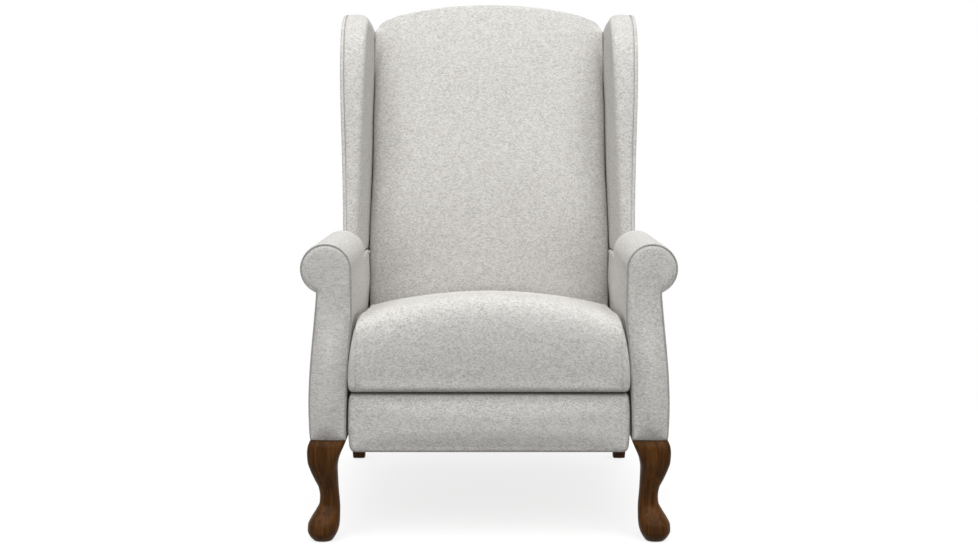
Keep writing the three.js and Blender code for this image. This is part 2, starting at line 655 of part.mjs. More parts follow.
addPair(chair, 'legrest_drive_link', driveLink(), finish.steel);
addPair(chair, 'legrest_guide_link', bar([guideRoot, guideEnd], slimHalfWidth, guidePlaneX), finish.steel);
addPair(chair, 'legrest_carrier', carrierLink(), finish.steel);
addPair(chair, 'legrest_control_link', looseBar(controlRoot, controlEnd, slimHalfWidth, basePlaneX), finish.steel);
addPair(chair, 'legrest_bracket', legrestBracket(), finish.steel);
add(chair, 'carrier_cross_tube', carrierTube(), finish.steel);
add(chair, 'flap_board', alongCarrier(flapBoardLow, flapBoardLow + flap.boardThickness), finish.hardwood);
add(chair, 'flap_pad', alongCarrier(flapPadLow, flapPadLow + flap.padThickness), finish.fabric);
add(chair, 'legrest_pad', facePad({
  ...legrest, backY: legrest.padThickness, frontY: 0,
}), finish.fabric);
add(chair, 'legrest_board', box(
  [-(legrest.halfX - legrest.boardInset), legrest.padThickness + seam, legrest.lowZ + legrest.boardInset],
  [legrest.halfX - legrest.boardInset, legrest.padThickness + seam + legrest.boardThickness,
    legrest.highZ - legrest.boardInset]), finish.hardwood);

// Seat cushion: crowned, with a rounded front that hangs over the front rail

const cushionOverlap = 5.6; // how far the cushion's side swells under the arm
const cushion = {
  halfX: armInnerX + cushionOverlap, corner: 18, midZ: 381, cornerSetback: 14, crown: 50, rearFall: 50, wrapY: 44,
  topPower: 1.7, bottomPower: 6,
};
// across the cushion, as shares of its half width
const cushionAcrossShares = [0, 0.2, 0.4, 0.6, 0.78, 0.9, 0.94, 0.965, 0.985, 1];
// its side outline: share of the depth, share of the height there
const cushionSideShares = [
  [0.08, 0], [0.02, 0], [-0.012, 0.03], [-0.026, 0.12], [-0.031, 0.3], [-0.031, 0.5], [-0.024, 0.7],
  [-0.006, 0.85], [0.025, 0.95], [0.07, 1], [0.15, 1.03], [0.25, 1.03], [0.4, 1.01], [0.6, 1], [0.8, 1],
  [0.97, 1], [1, 0.93], [1, 0.5], [1, 0], [0.6, 0],
];

function cushionRing(x) {
  const reach = Math.abs(x) / (cushion.halfX - cushion.corner);
  const beyond = Math.max(0, 1 - (cushion.halfX - Math.abs(x)) / cushion.corner);
  const rounded = (power) => 1 - (1 - Math.min(beyond, 0.99) ** power) ** (1 / power);
  const edge = rounded(cushion.topPower);
  return cushionSideShares.map(([depthShare, heightShare]) => {
    const fall = cushion.rearFall * Math.max(0, depthShare);
    const crown = cushion.crown * (1 - 0.35 * Math.max(0, depthShare)) * Math.max(0, 1 - reach * reach);
    const sideTop = seatFrontZ - fall;
    const top = sideTop + crown - edge * (sideTop - cushion.midZ);
    const bottom = seatBottomZ + rounded(cushion.bottomPower) * (cushion.midZ - seatBottomZ);
    const front = cushion.cornerSetback * edge;
    const y = depthShare * seatDepth + (depthShare < 0.1 ? front : 0);
    return [x, y, bottom + heightShare * (top - bottom)];
  });
}

function seatCushion() {
  const shares = [...cushionAcrossShares.slice(1).reverse().map((s) => -s), ...cushionAcrossShares];
  const blank = loft(shares.map((s) => cushionRing(s * cushion.halfX)));
  const springTopZ = seatBox.topZ + spring.wire + 2 * seam;
  return cut(blank, box([-cushion.halfX - overrun, cushion.wrapY, seatBottomZ - overrun],
    [cushion.halfX + overrun, seatDepth + overrun, springTopZ]));
}

add(chair, 'seat_cushion', seatCushion(), finish.fabric);

// Back: frame, webbing, cushion, wings and outside panels, drawn in the back's own frame

const postDrop = 96; // crest of the back above the top of its frame
const post = {
  outerX: 259.8, width: 32, cheekX: 281.7, cheekZ: 160, frontY: -28, rearY: 17.7, bottomZ: 32,
  topZ: backHeight - postDrop,
};
const railHeight = 42;
const webbing = { count: 6, width: 50, thickness: 3, overlap: 22, uprights: [-0.5, 0, 0.5] };
const wingGap = 1; // between the back cushion and the wing
const backCushion = {
  halfX: post.cheekX + seam - wingGap, arch: 54, rearY: 22, aboveFrame: 12, rearFall: 24, sideRound: 26, crown: 8, archFromShare: 0.6,
};
const webY = post.frontY - seam;
const cushionWrapZ = post.topZ + backCushion.aboveFrame; // above this the cushion runs back over the frame
const cushionRearY = webY - webbing.thickness - seam;
// share of the back's height, then how far the face stands in front of the hinge, as a share of the height
const backFaceShares = [
  [0.046, -0.078], [0.1, -0.095], [0.2, -0.113], [0.32, -0.124], [0.45, -0.124], [0.58, -0.118], [0.7, -0.11],
  [0.8, -0.103], [0.88, -0.097], [0.935, -0.09], [0.965, -0.081], [0.985, -0.069], [0.996, -0.054], [1, -0.034],
];
// across the back: share of the half width, share of the side rounding taken off the face
const backAcrossShares = [
  [0, -1], [0.3, -0.85], [0.55, -0.6], [0.75, -0.3], [0.87, 0.02], [0.94, 0.3], [0.98, 0.65], [1, 1],
];

function backRing([heightShare, faceShare]) {
  const archShare = Math.max(0, (heightShare - backCushion.archFromShare) / (1 - backCushion.archFromShare));
  const faceY = faceShare * backHeight;
  const half = backAcrossShares.map(([across, round]) => {
    const x = across * backCushion.halfX;
    const z = heightShare * backHeight - backCushion.arch * archShare * across ** 2.4;
    const pulled = round < 0 ? round * backCushion.crown : round * backCushion.sideRound;
    return [x, Math.min(faceY + pulled, backCushion.rearY - seam), z];
  });
  const rear = half.map(([x, , z]) => [x, backCushion.rearY, z - backCushion.rearFall * heightShare]);
  const right = [...half, ...rear.reverse()];
  const left = right.slice(1, -1).reverse().map(([x, y, z]) => [-x, y, z]);
  return [...right, ...left];
}

function backCushionSolid() {
  const blank = loft(backFaceShares.map(backRing));
  return cut(blank, box([-backCushion.halfX - overrun, cushionRearY, -overrun],
    [backCushion.halfX + overrun, backCushion.rearY + overrun, cushionWrapZ]));
}

function backStraps() {
  const halfX = post.outerX - webbing.overlap / 2;
  const lowZ = post.bottomZ + railHeight + webbing.width;
  const step = (post.topZ - railHeight - webbing.width - lowZ) / (webbing.count - 1);
  const across = Array.from({ length: webbing.count }, (_, i) => box(
    [-halfX, webY - webbing.thickness, lowZ + i * step - webbing.width / 2],
    [halfX, webY, lowZ + i * step + webbing.width / 2]));
  const upright = webbing.uprights.map((share) => box(
    [share * halfX - webbing.width / 2, webY - webbing.thickness, post.bottomZ],
    [share * halfX + webbing.width / 2, webY, post.topZ]));
  return join(...across, ...upright);
}

// The post is notched at its foot for the bracket, and wide above it to carry the wing
function backPost() {
  const innerX = post.outerX - post.width;
  return join(box([innerX, post.frontY, post.bottomZ], [post.outerX, post.rearY, post.topZ]),
    box([innerX, post.frontY, post.cheekZ], [post.cheekX, post.rearY, post.topZ]));
}

addPair(back, 'back_post', backPost(), finish.hardwood);
const railHalfX = post.outerX - post.width - seam;
add(back, 'back_top_rail', box([-railHalfX, post.frontY, post.topZ - railHeight],
  [railHalfX, post.rearY, post.topZ]), finish.hardwood);
add(back, 'back_bottom_rail', box([-railHalfX, post.frontY, post.bottomZ],
  [railHalfX, post.rearY, post.bottomZ + railHeight]), finish.hardwood);
add(back, 'back_webbing', backStraps(), finish.lining);
add(back, 'back_cushion', backCushionSolid(), finish.fabric);

const wing = {
  outerX: 338, innerX: post.cheekX + seam, noseX: 322, topRound: 12, rearY: post.rearY, topShare: 0.952, footClearance: 8,
  levelShare: 0.5,
};
const panel = { thickness: 12, wingThickness: 7.7, inset: 2, topDrop: 8 };
const outsideY = post.rearY + seam;
// share of the back's height, then how far forward the wing's nose reaches as a share of the height
const wingNoseShares = [
  [0, -0.259], [0.31, -0.27], [0.46, -0.279], [0.6, -0.273], [0.72, -0.258], [0.82, -0.236], [0.885, -0.21],
  [0.925, -0.178], [0.943, -0.14], [0.952, -0.1],
];
const wingRiseShares = [0, 0.06, 0.136, 0.242, 0.393, 0.559, 0.71, 0.831, 0.906, 0.959, 0.986, 1];
const wingFootZ = (sideTop.z + wing.footClearance - hinge.z) / Math.cos(THREE.MathUtils.degToRad(backLean));
const wingTopZ = wing.topShare * backHeight;
const wingHeights = wingRiseShares.map((share) => wingFootZ + share * (wingTopZ - wingFootZ));

// Near its foot the wing is cut level with the floor, so a ring there is tilted by the back's lean
function levelled(z, y) {
  const tilt = Math.tan(THREE.MathUtils.degToRad(backLean));
  const blend = Math.max(0, 1 - (z - wingFootZ) / (wing.levelShare * backHeight - wingFootZ));
  return z + y * tilt * blend;
}

function wingRing(height) {
  const heightShare = height / backHeight;
  const [noseShare] = table(wingNoseShares, heightShare);
  const noseY = noseShare * backHeight;
  const fromTop = Math.max(0, (heightShare - 0.9) / (wing.topShare - 0.9));
  const shrink = wing.topRound * fromTop * fromTop;
  const faceY = table(backFaceShares, heightShare)[0] * backHeight + backCushion.sideRound;
  const span = wing.outerX - wing.innerX;
  const nose = wing.outerX - wing.noseX;
  return [
    [wing.outerX, wing.rearY], [wing.outerX, faceY], [wing.outerX, noseY + nose * 1.6],
    [wing.outerX - nose * 0.25, noseY + nose * 0.5], [wing.noseX, noseY],
    [wing.noseX - nose * 0.75, noseY + nose * 0.35], [wing.noseX - nose * 1.35, noseY + nose * 1.3],
    [wing.innerX + span * 0.16, noseY + (faceY - noseY) * 0.5], [wing.innerX + span * 0.06, noseY + (faceY - noseY) * 0.8],
    [wing.innerX, faceY], [wing.innerX, wing.rearY],
  ].map(([x, y]) => {
    const middle = (wing.outerX + wing.innerX) / 2;
    const drawn = x + (Math.sign(middle - x) * shrink * (x > middle ? 0.2 : 1));
    return [drawn, y, levelled(height, y)];
  });
}

function wingPanel() {
  const nose = wingHeights.map((height) => {
    const y = table(wingNoseShares, height / backHeight)[0] * backHeight + panel.inset;
    return [y, levelled(height, y)];
  });
  const rearY = outsideY + panel.thickness;
  const outline = [...nose, [rearY, wingTopZ], [rearY, levelled(wingFootZ, rearY)]];
  return sidewise(polygon(outline), wing.outerX + seam, panel.wingThickness);
}

// Outside back: as wide as the wings above the arms, with an arched top
function outsideBack() {
  const halfX = wing.outerX - seam;
  const bottomZ = levelled(wingFootZ, outsideY);
  const cornerZ = wingTopZ - panel.topDrop;
  const shape = new THREE.Shape();
  shape.moveTo(-halfX, bottomZ);
  shape.lineTo(halfX, bottomZ);
  shape.lineTo(halfX, cornerZ);
  const shoulderZ = backHeight - backCushion.arch - panel.inset;
  shape.lineTo(backCushion.halfX, shoulderZ);
  shape.bezierCurveTo(backCushion.halfX * 0.6, backHeight - panel.topDrop + panel.inset,
    -backCushion.halfX * 0.6, backHeight - panel.topDrop + panel.inset, -backCushion.halfX, shoulderZ);
  shape.lineTo(-halfX, cornerZ);
  return join(cut(frontwise(shape, outsideY, panel.thickness), rearCutter()), backSkirt());
}

// The cushion wraps over the frame as far as its rear face, and the outside panel stops short of it
function rearCutter() {
  return box([-backCushion.halfX - seam, outsideY - overrun, cushionWrapZ - seam],
    [backCushion.halfX + seam, backCushion.rearY + seam, backHeight + overrun]);
}

const skirt = { rearDrop: 59, bottomZ: 36 };

// Below the arms the outside back hangs nearly upright behind the frame
function backSkirt() {
  const topZ = levelled(wingFootZ, outsideY) + overrun;
  const outline = polygon([[outsideY, topZ], [outsideY, topZ - panel.thickness],
    [outsideY + skirt.rearDrop, skirt.bottomZ], [outsideY + skirt.rearDrop + panel.thickness, skirt.bottomZ],
    [outsideY + panel.thickness, topZ - panel.thickness], [outsideY + panel.thickness, topZ]]);
  return sidewise(outline, -backCushion.halfX, 2 * backCushion.halfX);
}

const bracket = { width: 22, height: 150 };

function backBracket() {
  const plate = bar([{ y: 0, z: 0 }, leverLocal()], linkHalfWidth, basePlaneX, []);
  const upright = box([basePlaneX, post.frontY + bracket.width / 2, 0],
    [basePlaneX + steel, post.frontY + bracket.width * 1.5, bracket.height]);
  return join(cut(join(plate, upright), hole(basePlaneX, steel, { y: 0, z: 0 })),
    stud(leverLocal(), basePlaneX + steel / 2, linkPlaneX - seam, false));
}

function leverLocal() {
  const turn = THREE.MathUtils.degToRad(backLean);
  const [dy, dz] = [-reclineLever.back, -reclineLever.down];
  return { y: dy * Math.cos(turn) - dz * Math.sin(turn), z: dy * Math.sin(turn) + dz * Math.cos(turn) };
}

addPair(back, 'wing', loft(wingHeights.map(wingRing)), finish.fabric);
addPair(back, 'outside_wing', wingPanel(), finish.fabric);
add(back, 'outside_back', outsideBack(), finish.fabric);
addPair(back, 'back_bracket', backBracket(), finish.steel);

// The origin is on the floor, under the middle of the chair
const extent = new THREE.Box3().setFromObject(chair, true);
chair.position.y = -(extent.min.y + extent.max.y) / 2;

export default chair;
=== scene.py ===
# Wing recliner: upholstery, show wood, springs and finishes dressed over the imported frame.
# Sizes are millimetres: x across from the middle, y back from the arm fronts, z up from the floor.
import math

import bmesh
import bpy
import numpy as np
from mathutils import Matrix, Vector
from mathutils.geometry import delaunay_2d_cdt


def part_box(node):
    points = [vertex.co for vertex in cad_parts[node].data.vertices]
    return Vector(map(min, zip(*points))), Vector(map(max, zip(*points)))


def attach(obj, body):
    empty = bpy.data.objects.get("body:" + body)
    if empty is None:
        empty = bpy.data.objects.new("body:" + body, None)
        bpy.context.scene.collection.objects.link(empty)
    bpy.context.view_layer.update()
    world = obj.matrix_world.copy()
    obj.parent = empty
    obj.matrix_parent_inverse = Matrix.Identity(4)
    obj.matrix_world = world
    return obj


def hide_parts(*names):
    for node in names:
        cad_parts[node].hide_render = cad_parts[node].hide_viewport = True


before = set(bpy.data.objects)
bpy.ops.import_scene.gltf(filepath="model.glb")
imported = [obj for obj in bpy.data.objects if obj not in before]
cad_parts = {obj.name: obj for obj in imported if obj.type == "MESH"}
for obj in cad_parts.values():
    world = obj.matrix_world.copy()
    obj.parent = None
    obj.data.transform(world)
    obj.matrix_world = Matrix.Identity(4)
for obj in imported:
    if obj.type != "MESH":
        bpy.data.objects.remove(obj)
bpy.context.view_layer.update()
print("frame loaded")

mm = 0.001
chair = {
    "railFront": 48,  # front rail of the seat, behind the arm fronts
    "legHeight": 219,
    "seam": 0.3,
    "hingeY": 560,
    "hingeZ": 335,
    "backLean": 15.5,
    "backHeight": 828,
    "seatDepth": 495,
}
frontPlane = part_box("seat_front_rail")[0].y - chair["railFront"] * mm
sides = {"left": -1, "right": 1}


# ---- points and curves


def place(points):
    return np.asarray(points, float) * mm + (0, frontPlane, 0)


# the back is drawn upright from its hinge and then leaned
def leaned(points):
    x, y, z = np.moveaxis(np.asarray(points, float), -1, 0)
    turn = math.radians(chair["backLean"])
    c, s = math.cos(turn), math.sin(turn)
    return np.stack([x, chair["hingeY"] + y * c + z * s, chair["hingeZ"] - y * s + z * c], -1)


# a smooth line through rows of (key, value, ...) that never overshoots them
def follow(rows, at):
    rows = np.asarray(sorted(rows), float)
    key, value = rows[:, 0], rows[:, 1:]
    rise = np.diff(value, axis=0) / np.diff(key)[:, None]
    slope = np.zeros_like(value)
    both, total = rise[:-1] * rise[1:], rise[:-1] + rise[1:]
    slope[1:-1] = np.where(both > 0, 2 * both / np.where(total == 0, 1, total), 0)
    slope[0], slope[-1] = rise[0], rise[-1]
    at = np.clip(np.atleast_1d(at).astype(float), key[0], key[-1])
    left = np.clip(np.searchsorted(key, at, side="right") - 1, 0, len(key) - 2)
    step = np.diff(key)[left][:, None]
    t = (at - key[left])[:, None] / step
    start = value[left] * (1 + 2 * t) * (1 - t) ** 2 + slope[left] * step * t * (1 - t) ** 2
    end = value[left + 1] * t**2 * (3 - 2 * t) - slope[left + 1] * step * t**2 * (1 - t)
    made = start + end
    return made if made.shape[1] > 1 else made[:, 0]


# the distance run along a line, at each of its points
def runOf(points):
    return np.r_[0, np.cumsum(np.linalg.norm(np.diff(points, axis=0), axis=1))]


def evenly(points, count):
    points = np.asarray(points, float)
    run = runOf(points)
    at = np.linspace(0, run[-1], count)
    return np.stack([np.interp(at, run, column) for column in points.T], 1)


def curveThrough(points, count, closed=False):
    p = np.asarray(points, float)
    before = p[-1:] if closed else [2 * p[0] - p[1]]
    after = p[:2] if closed else [2 * p[-1] - p[-2]]
    p = np.vstack([before, p, after])
    fine = []
    for a, b, c, d in zip(p, p[1:], p[2:], p[3:]):
        for t in np.linspace(0, 1, 12, endpoint=False):
            bend = (2 * a - 5 * b + 4 * c - d) * t**2 + (3 * b - a - 3 * c + d) * t**3
            fine.append(0.5 * (2 * b + (c - a) * t + bend))
    if closed:
        return evenly([*fine, fine[0]], count + 1)[:-1]
    return evenly([*fine, p[-2]], count)


def bezier(points, t):
    last = len(points) - 1
    weights = [math.comb(last, i) * t**i * (1 - t) ** (last - i) for i in range(last + 1)]
    return sum(w[:, None] * np.asarray(p, float) for w, p in zip(weights, points))


# a line moved sideways, inward where it runs clockwise
def insetLine(points, by, closed=True):
    if closed:
        ahead = np.roll(points, -1, axis=0) - np.roll(points, 1, axis=0)
    else:
        ahead = np.gradient(points, axis=0)
    ahead /= np.linalg.norm(ahead, axis=1, keepdims=True)
    return points + np.stack([ahead[:, 1], -ahead[:, 0]], 1) * by


def easeIn(low, high, value):
    t = np.clip((np.asarray(value, float) - low) / (high - low), 0, 1)
    return t * t * (3 - 2 * t)


def superellipse(count, half, power):
    turn = 2 * math.pi * (np.arange(count) + 0.5) / count
    way = np.stack([np.cos(turn), np.sin(turn)], 1)
    return half * np.sign(way) * np.abs(way) ** (2 / power)


# how far a point has dropped below a rounded edge, for its distance in from that edge
def roundedDrop(radius, inward):
    short = np.clip(radius - np.asarray(inward, float), 0, radius)
    return radius - np.sqrt(np.maximum(radius**2 - short**2, 0))


# even steps from -1 to 1, gathered towards both ends by a share
def gathered(count, share):
    even = np.linspace(-1, 1, count)
    return (1 - share) * even + share * np.sin(even * math.pi / 2)


def sheetOf(line, xs):
    return np.array([[(x, y, z) for x in xs] for y, z in line])


# ---- meshes


def newObject(name, data):
    made = bpy.data.objects.new(name, data)
    bpy.context.scene.collection.objects.link(made)
    return made


def softened(mesh, sharpest=55):
    mesh.shade_smooth()
    mesh.set_sharp_from_angle(angle=math.radians(sharpest))


def meshFrom(name, points, faces, weave):
    mesh = bpy.data.meshes.new(name)
    mesh.from_pydata([tuple(p) for p in points], [], [tuple(f) for f in faces])
    layer = mesh.uv_layers.new(name="weave")
    layer.data.foreach_set("uv", np.asarray(weave, np.float32).ravel())
    whole = bmesh.new()
    whole.from_mesh(mesh)
    if whole.calc_volume(signed=True) < 0:
        bmesh.ops.reverse_faces(whole, faces=whole.faces[:])
    wide = [f for f in whole.faces if len(f.verts) > 4]
    if wide:
        bmesh.ops.triangulate(whole, faces=wide, ngon_method="EAR_CLIP")
    whole.to_mesh(mesh)
    whole.free()
    softened(mesh)
    return newObject(name, mesh)


# distances over the cloth, in metres, from the middle of a grid of points
def clothDistances(grid):
    flat = []
    for axis in (1, 0):
        run = np.cumsum(np.linalg.norm(np.diff(grid, axis=axis), axis=2), axis)
        run = np.pad(run, [(int(i == axis), 0) for i in (0, 1)])
        flat.append(run - run.take([grid.shape[axis] // 2], axis))
    return np.dstack(flat)


class Patchwork:
    def __init__(self):
        self.faces, self.weave = [], []

    def add(self, number, flat):
        for grid, made, width in ((number, self.faces, 4), (flat, self.weave, 2)):
            around = [grid[:-1, :-1], grid[:-1, 1:], grid[1:, 1:], grid[1:, :-1]]
            made += np.stack(around, 2).reshape(-1, width).tolist()

    # the weft lies along the columns, or along the rows where the cloth is turned
    def laid(self, turned):
        return np.asarray(self.weave)[:, ::-1] if turned else self.weave


# a closed pad between an outer and an inner grid of points
def slab(name, outer, inner, turned=False):
    outer, inner = place(outer), place(inner)
    rows, cols = outer.shape[:2]
    number = np.arange(rows * cols).reshape(rows, cols)
    behind = number + rows * cols
    flat = clothDistances(outer)
    depth = np.linalg.norm(outer - inner, axis=2)[..., None]
    work = Patchwork()
    work.add(number, flat)
    work.add(behind[:, ::-1], clothDistances(inner))
    for axis, way in ((0, (0, 1)), (1, (1, 0))):
        low, high = flat - depth * way, flat + depth * way
        for at, *rims in ((0, behind, number, low, flat), (-1, number, behind, flat, high)):
            a, b, c, d = (rim.take(at, axis) for rim in rims)
            work.add(np.stack([a, b], axis), np.stack([c, d], axis))
    points = np.vstack([outer.reshape(-1, 3), inner.reshape(-1, 3)])
    return meshFrom(name, points, work.faces, work.laid(turned))


# a closed skin over rings of points, its two ends filled
def tube(name, rings, turned=False):
    rings = place(rings)
    count = rings.shape[1]
    number = np.arange(rings.shape[0] * count).reshape(-1, count)
    work = Patchwork()
    wrapped = np.concatenate([number, number[:, :1]], 1)
    work.add(wrapped, clothDistances(np.concatenate([rings, rings[:, :1]], 1)))
    for ring, order in ((0, slice(None, None, -1)), (-1, slice(None))):
        spread = np.argsort(np.ptp(rings[ring], axis=0))[1:]
        work.faces.append(number[ring][order].tolist())
        work.weave += rings[ring][order][:, sorted(spread)].tolist()
    return meshFrom(name, rings.reshape(-1, 3), work.faces, work.laid(turned))


# puts the evaluated shape in place of a piece's mesh and its modifiers
def applied(piece):
    view = bpy.context.evaluated_depsgraph_get()
    view.update()
    seen = piece.evaluated_get(view)
    made = bpy.data.meshes.new_from_object(seen, preserve_all_data_layers=True, depsgraph=view)
    piece.modifiers.clear()
    piece.data = made
    return piece


def united(name, first, second):
    union = first.modifiers.new("union", "BOOLEAN")
    union.operation, union.solver, union.object = "UNION", "EXACT", second
    applied(first)
    bpy.data.objects.remove(second)
    first.name = name
    softened(first.data)
    return first


def finer(piece):
    more = piece.modifiers.new("finer", "SUBSURF")
    more.levels = more.render_levels = 1
    more.boundary_smooth = "PRESERVE_CORNERS"
    applied(piece)
    softened(piece.data)
    return piece


def valuesOf(piece, what):
    flat = np.zeros(len(piece.data.vertices) * 3)
    piece.data.vertices.foreach_get(what, flat)
    return flat.reshape(-1, 3)


def moveTo(piece, points):
    piece.data.vertices.foreach_set("co", points.ravel())
    piece.data.update()


# draws the skin in along its normals, by a share of a depth at each vertex
def sink(piece, share, depth):
    way = valuesOf(piece, "normal") * share[:, None]
    moveTo(piece, valuesOf(piece, "co") - way * (depth * mm))


stuffing = {
    "frames": 20,
    "heldBelow": 0.02,
    "cloth": {
        "quality": 5,
        "mass": 0.3,
        "tension_stiffness": 12,
        "compression_stiffness": 12,
        "shear_stiffness": 6,
        "bending_stiffness": 4.0,
        "use_pressure": True,
        "uniform_pressure_force": 4.0,
    },
}


# the cover is drawn in by "tuck", then air pressure swells it by at most "cap"; "free" is its
# share of both at each vertex
def inflate(piece, free, tuck, cap):
    sink(piece, free, tuck)
    rest = valuesOf(piece, "co")
    held = piece.vertex_groups.new(name="held")
    still = np.nonzero(free <= stuffing["heldBelow"])[0]
    held.add([int(i) for i in still], 1.0, "REPLACE")
    cloth = piece.modifiers.new("cover", "CLOTH")
    for key, value in stuffing["cloth"].items():
        setattr(cloth.settings, key, value)
    cloth.settings.effector_weights.gravity = 0
    cloth.settings.vertex_group_mass = held.name
    cloth.collision_settings.use_collision = False
    cloth.point_cache.frame_start = 1
    cloth.point_cache.frame_end = stuffing["frames"]
    for number in range(1, stuffing["frames"] + 1):
        bpy.context.scene.frame_set(number)
    swollen = piece.evaluated_get(bpy.context.evaluated_depsgraph_get())
    move = valuesOf(swollen, "co") - rest
    length = np.linalg.norm(move, axis=1, keepdims=True)
    move *= np.minimum(1, cap * mm * free[:, None] / np.maximum(length, 1e-9))
    piece.modifiers.clear()
    piece.vertex_groups.clear()
    moveTo(piece, rest + move)
    bpy.context.scene.frame_set(1)
    most = np.linalg.norm(move, axis=1).max() / mm
    print(f"  {piece.name} swelled by {most:.1f} mm at most")


# ---- finishes


def operator(operation, reflected=False):
    def act(self, *others):
        values = (self, *others)[::-1] if reflected else (self, *others)
        return self.recipe.node("ShaderNodeMath", {"operation": operation}, dict(enumerate(values)))

    return act


class Wire:
    def __init__(self, recipe, socket):
        self.recipe, self.socket = recipe, socket

    __add__, __radd__ = operator("ADD"), operator("ADD", True)
    __sub__, __rsub__ = operator("SUBTRACT"), operator("SUBTRACT", True)
    __mul__, __rmul__ = operator("MULTIPLY"), operator("MULTIPLY", True)
    __truediv__, __pow__ = operator("DIVIDE"), operator("POWER")
    floor, fraction = operator("FLOOR"), operator("FRACT")
    absolute, sine = operator("ABSOLUTE"), operator("SINE")

    def clamped(self):
        return self.recipe.node("ShaderNodeClamp", {}, {"Value": self, "Min": 0.0, "Max": 1.0})

    # 0 below low and 1 above high, with a soft step between
    def between(self, low, high):
        sockets = {"Value": self, "From Min": low, "From Max": high}
        return self.recipe.node("ShaderNodeMapRange", {"interpolation_type": "SMOOTHSTEP"}, sockets)


class Recipe:
    def __init__(self, name):
        self.material = bpy.data.materials.new(name)
        self.material.use_nodes = True
        self.tree = self.material.node_tree
        self.shader = self.tree.nodes["Principled BSDF"]

    def fill(self, inputs, sockets):
        for key, value in sockets.items():
            if isinstance(value, Wire):
                self.tree.links.new(value.socket, inputs[key])
            else:
                inputs[key].default_value = value

    def node(self, kind, settings, sockets, output=0):
        made = self.tree.nodes.new(kind)
        for key, value in settings.items():
            setattr(made, key, value)
        self.fill(made.inputs, sockets)
        return Wire(self, made.outputs[output])

    def coordinates(self, source, scale):
        if source == "object":
            start = self.node("ShaderNodeTexCoord", {}, {}, "Object")
        else:
            start = self.node("ShaderNodeUVMap", {"uv_map": source}, {})
        return self.node("ShaderNodeMapping", {}, {"Vector": start, "Scale": scale})

    def parts(self, vector):
        split = self.node("ShaderNodeSeparateXYZ", {}, {"Vector": vector})
        return [Wire(self, output) for output in split.socket.node.outputs]

    def vector(self, x, y, z=0.0):
        return self.node("ShaderNodeCombineXYZ", {}, {"X": x, "Y": y, "Z": z})

    def noise(self, vector, scale, detail=2.0, rough=0.5):
        sockets = {"Vector": vector, "Scale": scale, "Detail": detail, "Roughness": rough}
        return self.node("ShaderNodeTexNoise", {}, sockets)

    def scatter(self, vector):
        settings = {"noise_dimensions": "2D"}
        return self.node("ShaderNodeTexWhiteNoise", settings, {"Vector": vector})

    def blend(self, share, first, second, how="MIX"):
        sockets = {0: share}
        for key, value in ((6, first), (7, second)):
            sockets[key] = value if isinstance(value, Wire) else (*value, 1)
        return self.node("ShaderNodeMix", {"data_type": "RGBA", "blend_type": how}, sockets, 2)

    def bump(self, height, strength, distance):
        sockets = {"Height": height, "Strength": strength, "Distance": distance}
        return self.node("ShaderNodeBump", {}, sockets)

    def finish(self, sockets):
        self.fill(self.shader.inputs, sockets)
        return self.material


tweed = {
    "dash": (3.8, 1.8),  # length and height of the short yarns that show on the face
    "thread": 0.9,
    "shade": (0.6, 0.586, 0.562),
    "dark": (0.385, 0.371, 0.347),
    "light": (0.745, 0.735, 0.715),
    "flecks": (0.62, 1.25, 0.3),  # how strongly single yarns, slubs and broad clouds show
}


# "tone" darkens the whole colour; the welts use it for painted shade
def tweedFinish(name, tone=1.0, contrast=1.0):
    r = Recipe(name)
    u, v, _ = r.parts(r.coordinates("weave", (1000, 1000, 1000)))
    length, height = tweed["dash"]
    row = (v + r.noise(r.vector(u, v), 0.08, 2.0) * 4) / height
    column = u / length + r.scatter(r.vector(row.floor(), 7.0)) * 40
    yarn = r.scatter(r.vector(column.floor(), row.floor()))
    slub = r.noise(r.vector(u * 0.55, v), 0.62, 2.0, 0.6)
    cloud = r.noise(r.vector(u * 0.8, v), 0.05, 3.0, 0.6)
    parts = zip((yarn, slub, cloud), tweed["flecks"])
    first, second, third = ((part - 0.5) * share for part, share in parts)
    tint = ((first + second + third) * contrast + 0.5).clamped()
    darker = r.blend(tint.between(0.0, 0.5), tweed["dark"], tweed["shade"])
    colour = r.blend(tint.between(0.5, 1.0), darker, tweed["light"])
    warp, weft = ((way * (math.pi / tweed["thread"])).sine().absolute() for way in (u, v))
    squares = (u / tweed["thread"]).floor() + (v / tweed["thread"]).floor()
    over = (squares * 0.5).fraction() * 2
    knit = warp * over + weft * (1 - over)
    sockets = {
        "Base Color": r.blend(1.0, colour, (tone, tone, tone), "MULTIPLY"),
        "Roughness": 0.94,
        "Sheen Weight": 0.08,
        "Sheen Roughness": 0.5,
        "Specular IOR Level": 0.15,
        "Normal": r.bump(knit * 0.45 + yarn * 0.35 + slub * 0.5, 0.45, 0.0005),
    }
    return r.finish(sockets)


# "grain" is the axis the wood's grain runs along
def woodFinish(name, tones, grain, gloss, shine=0.5, coat=0.0):
    r = Recipe(name)
    dark, mid, light = tones

    def along(across, lengthwise):
        scale = [across] * 3
        scale[grain] = lengthwise
        return r.coordinates("object", scale)

    rings = (r.noise(along(38.0, 3.2), 1.0, 3.0, 0.55) * 26).sine() * 0.5 + 0.5
    streak = r.noise(along(260.0, 16.0), 1.0, 4.0, 0.6)
    pores = r.noise(along(1500.0, 60.0), 1.0, 1.0).between(0.6, 0.72)
    tint = rings * 0.35 + streak * 0.65
    low = r.blend(tint.between(0.1, 0.55), dark, mid)
    body = r.blend(tint.between(0.5, 0.9), low, light)
    sockets = {
        "Base Color": r.blend(pores * 0.45, body, dark),
        "Roughness": streak * 0.16 + (gloss - 0.08),
        "Specular IOR Level": shine,
        "Coat Weight": coat,
        "Coat Roughness": 0.3,
        "Normal": r.bump(streak * 0.4 - pores * 0.6, 0.25, 0.0004),
    }
    return r.finish(sockets)


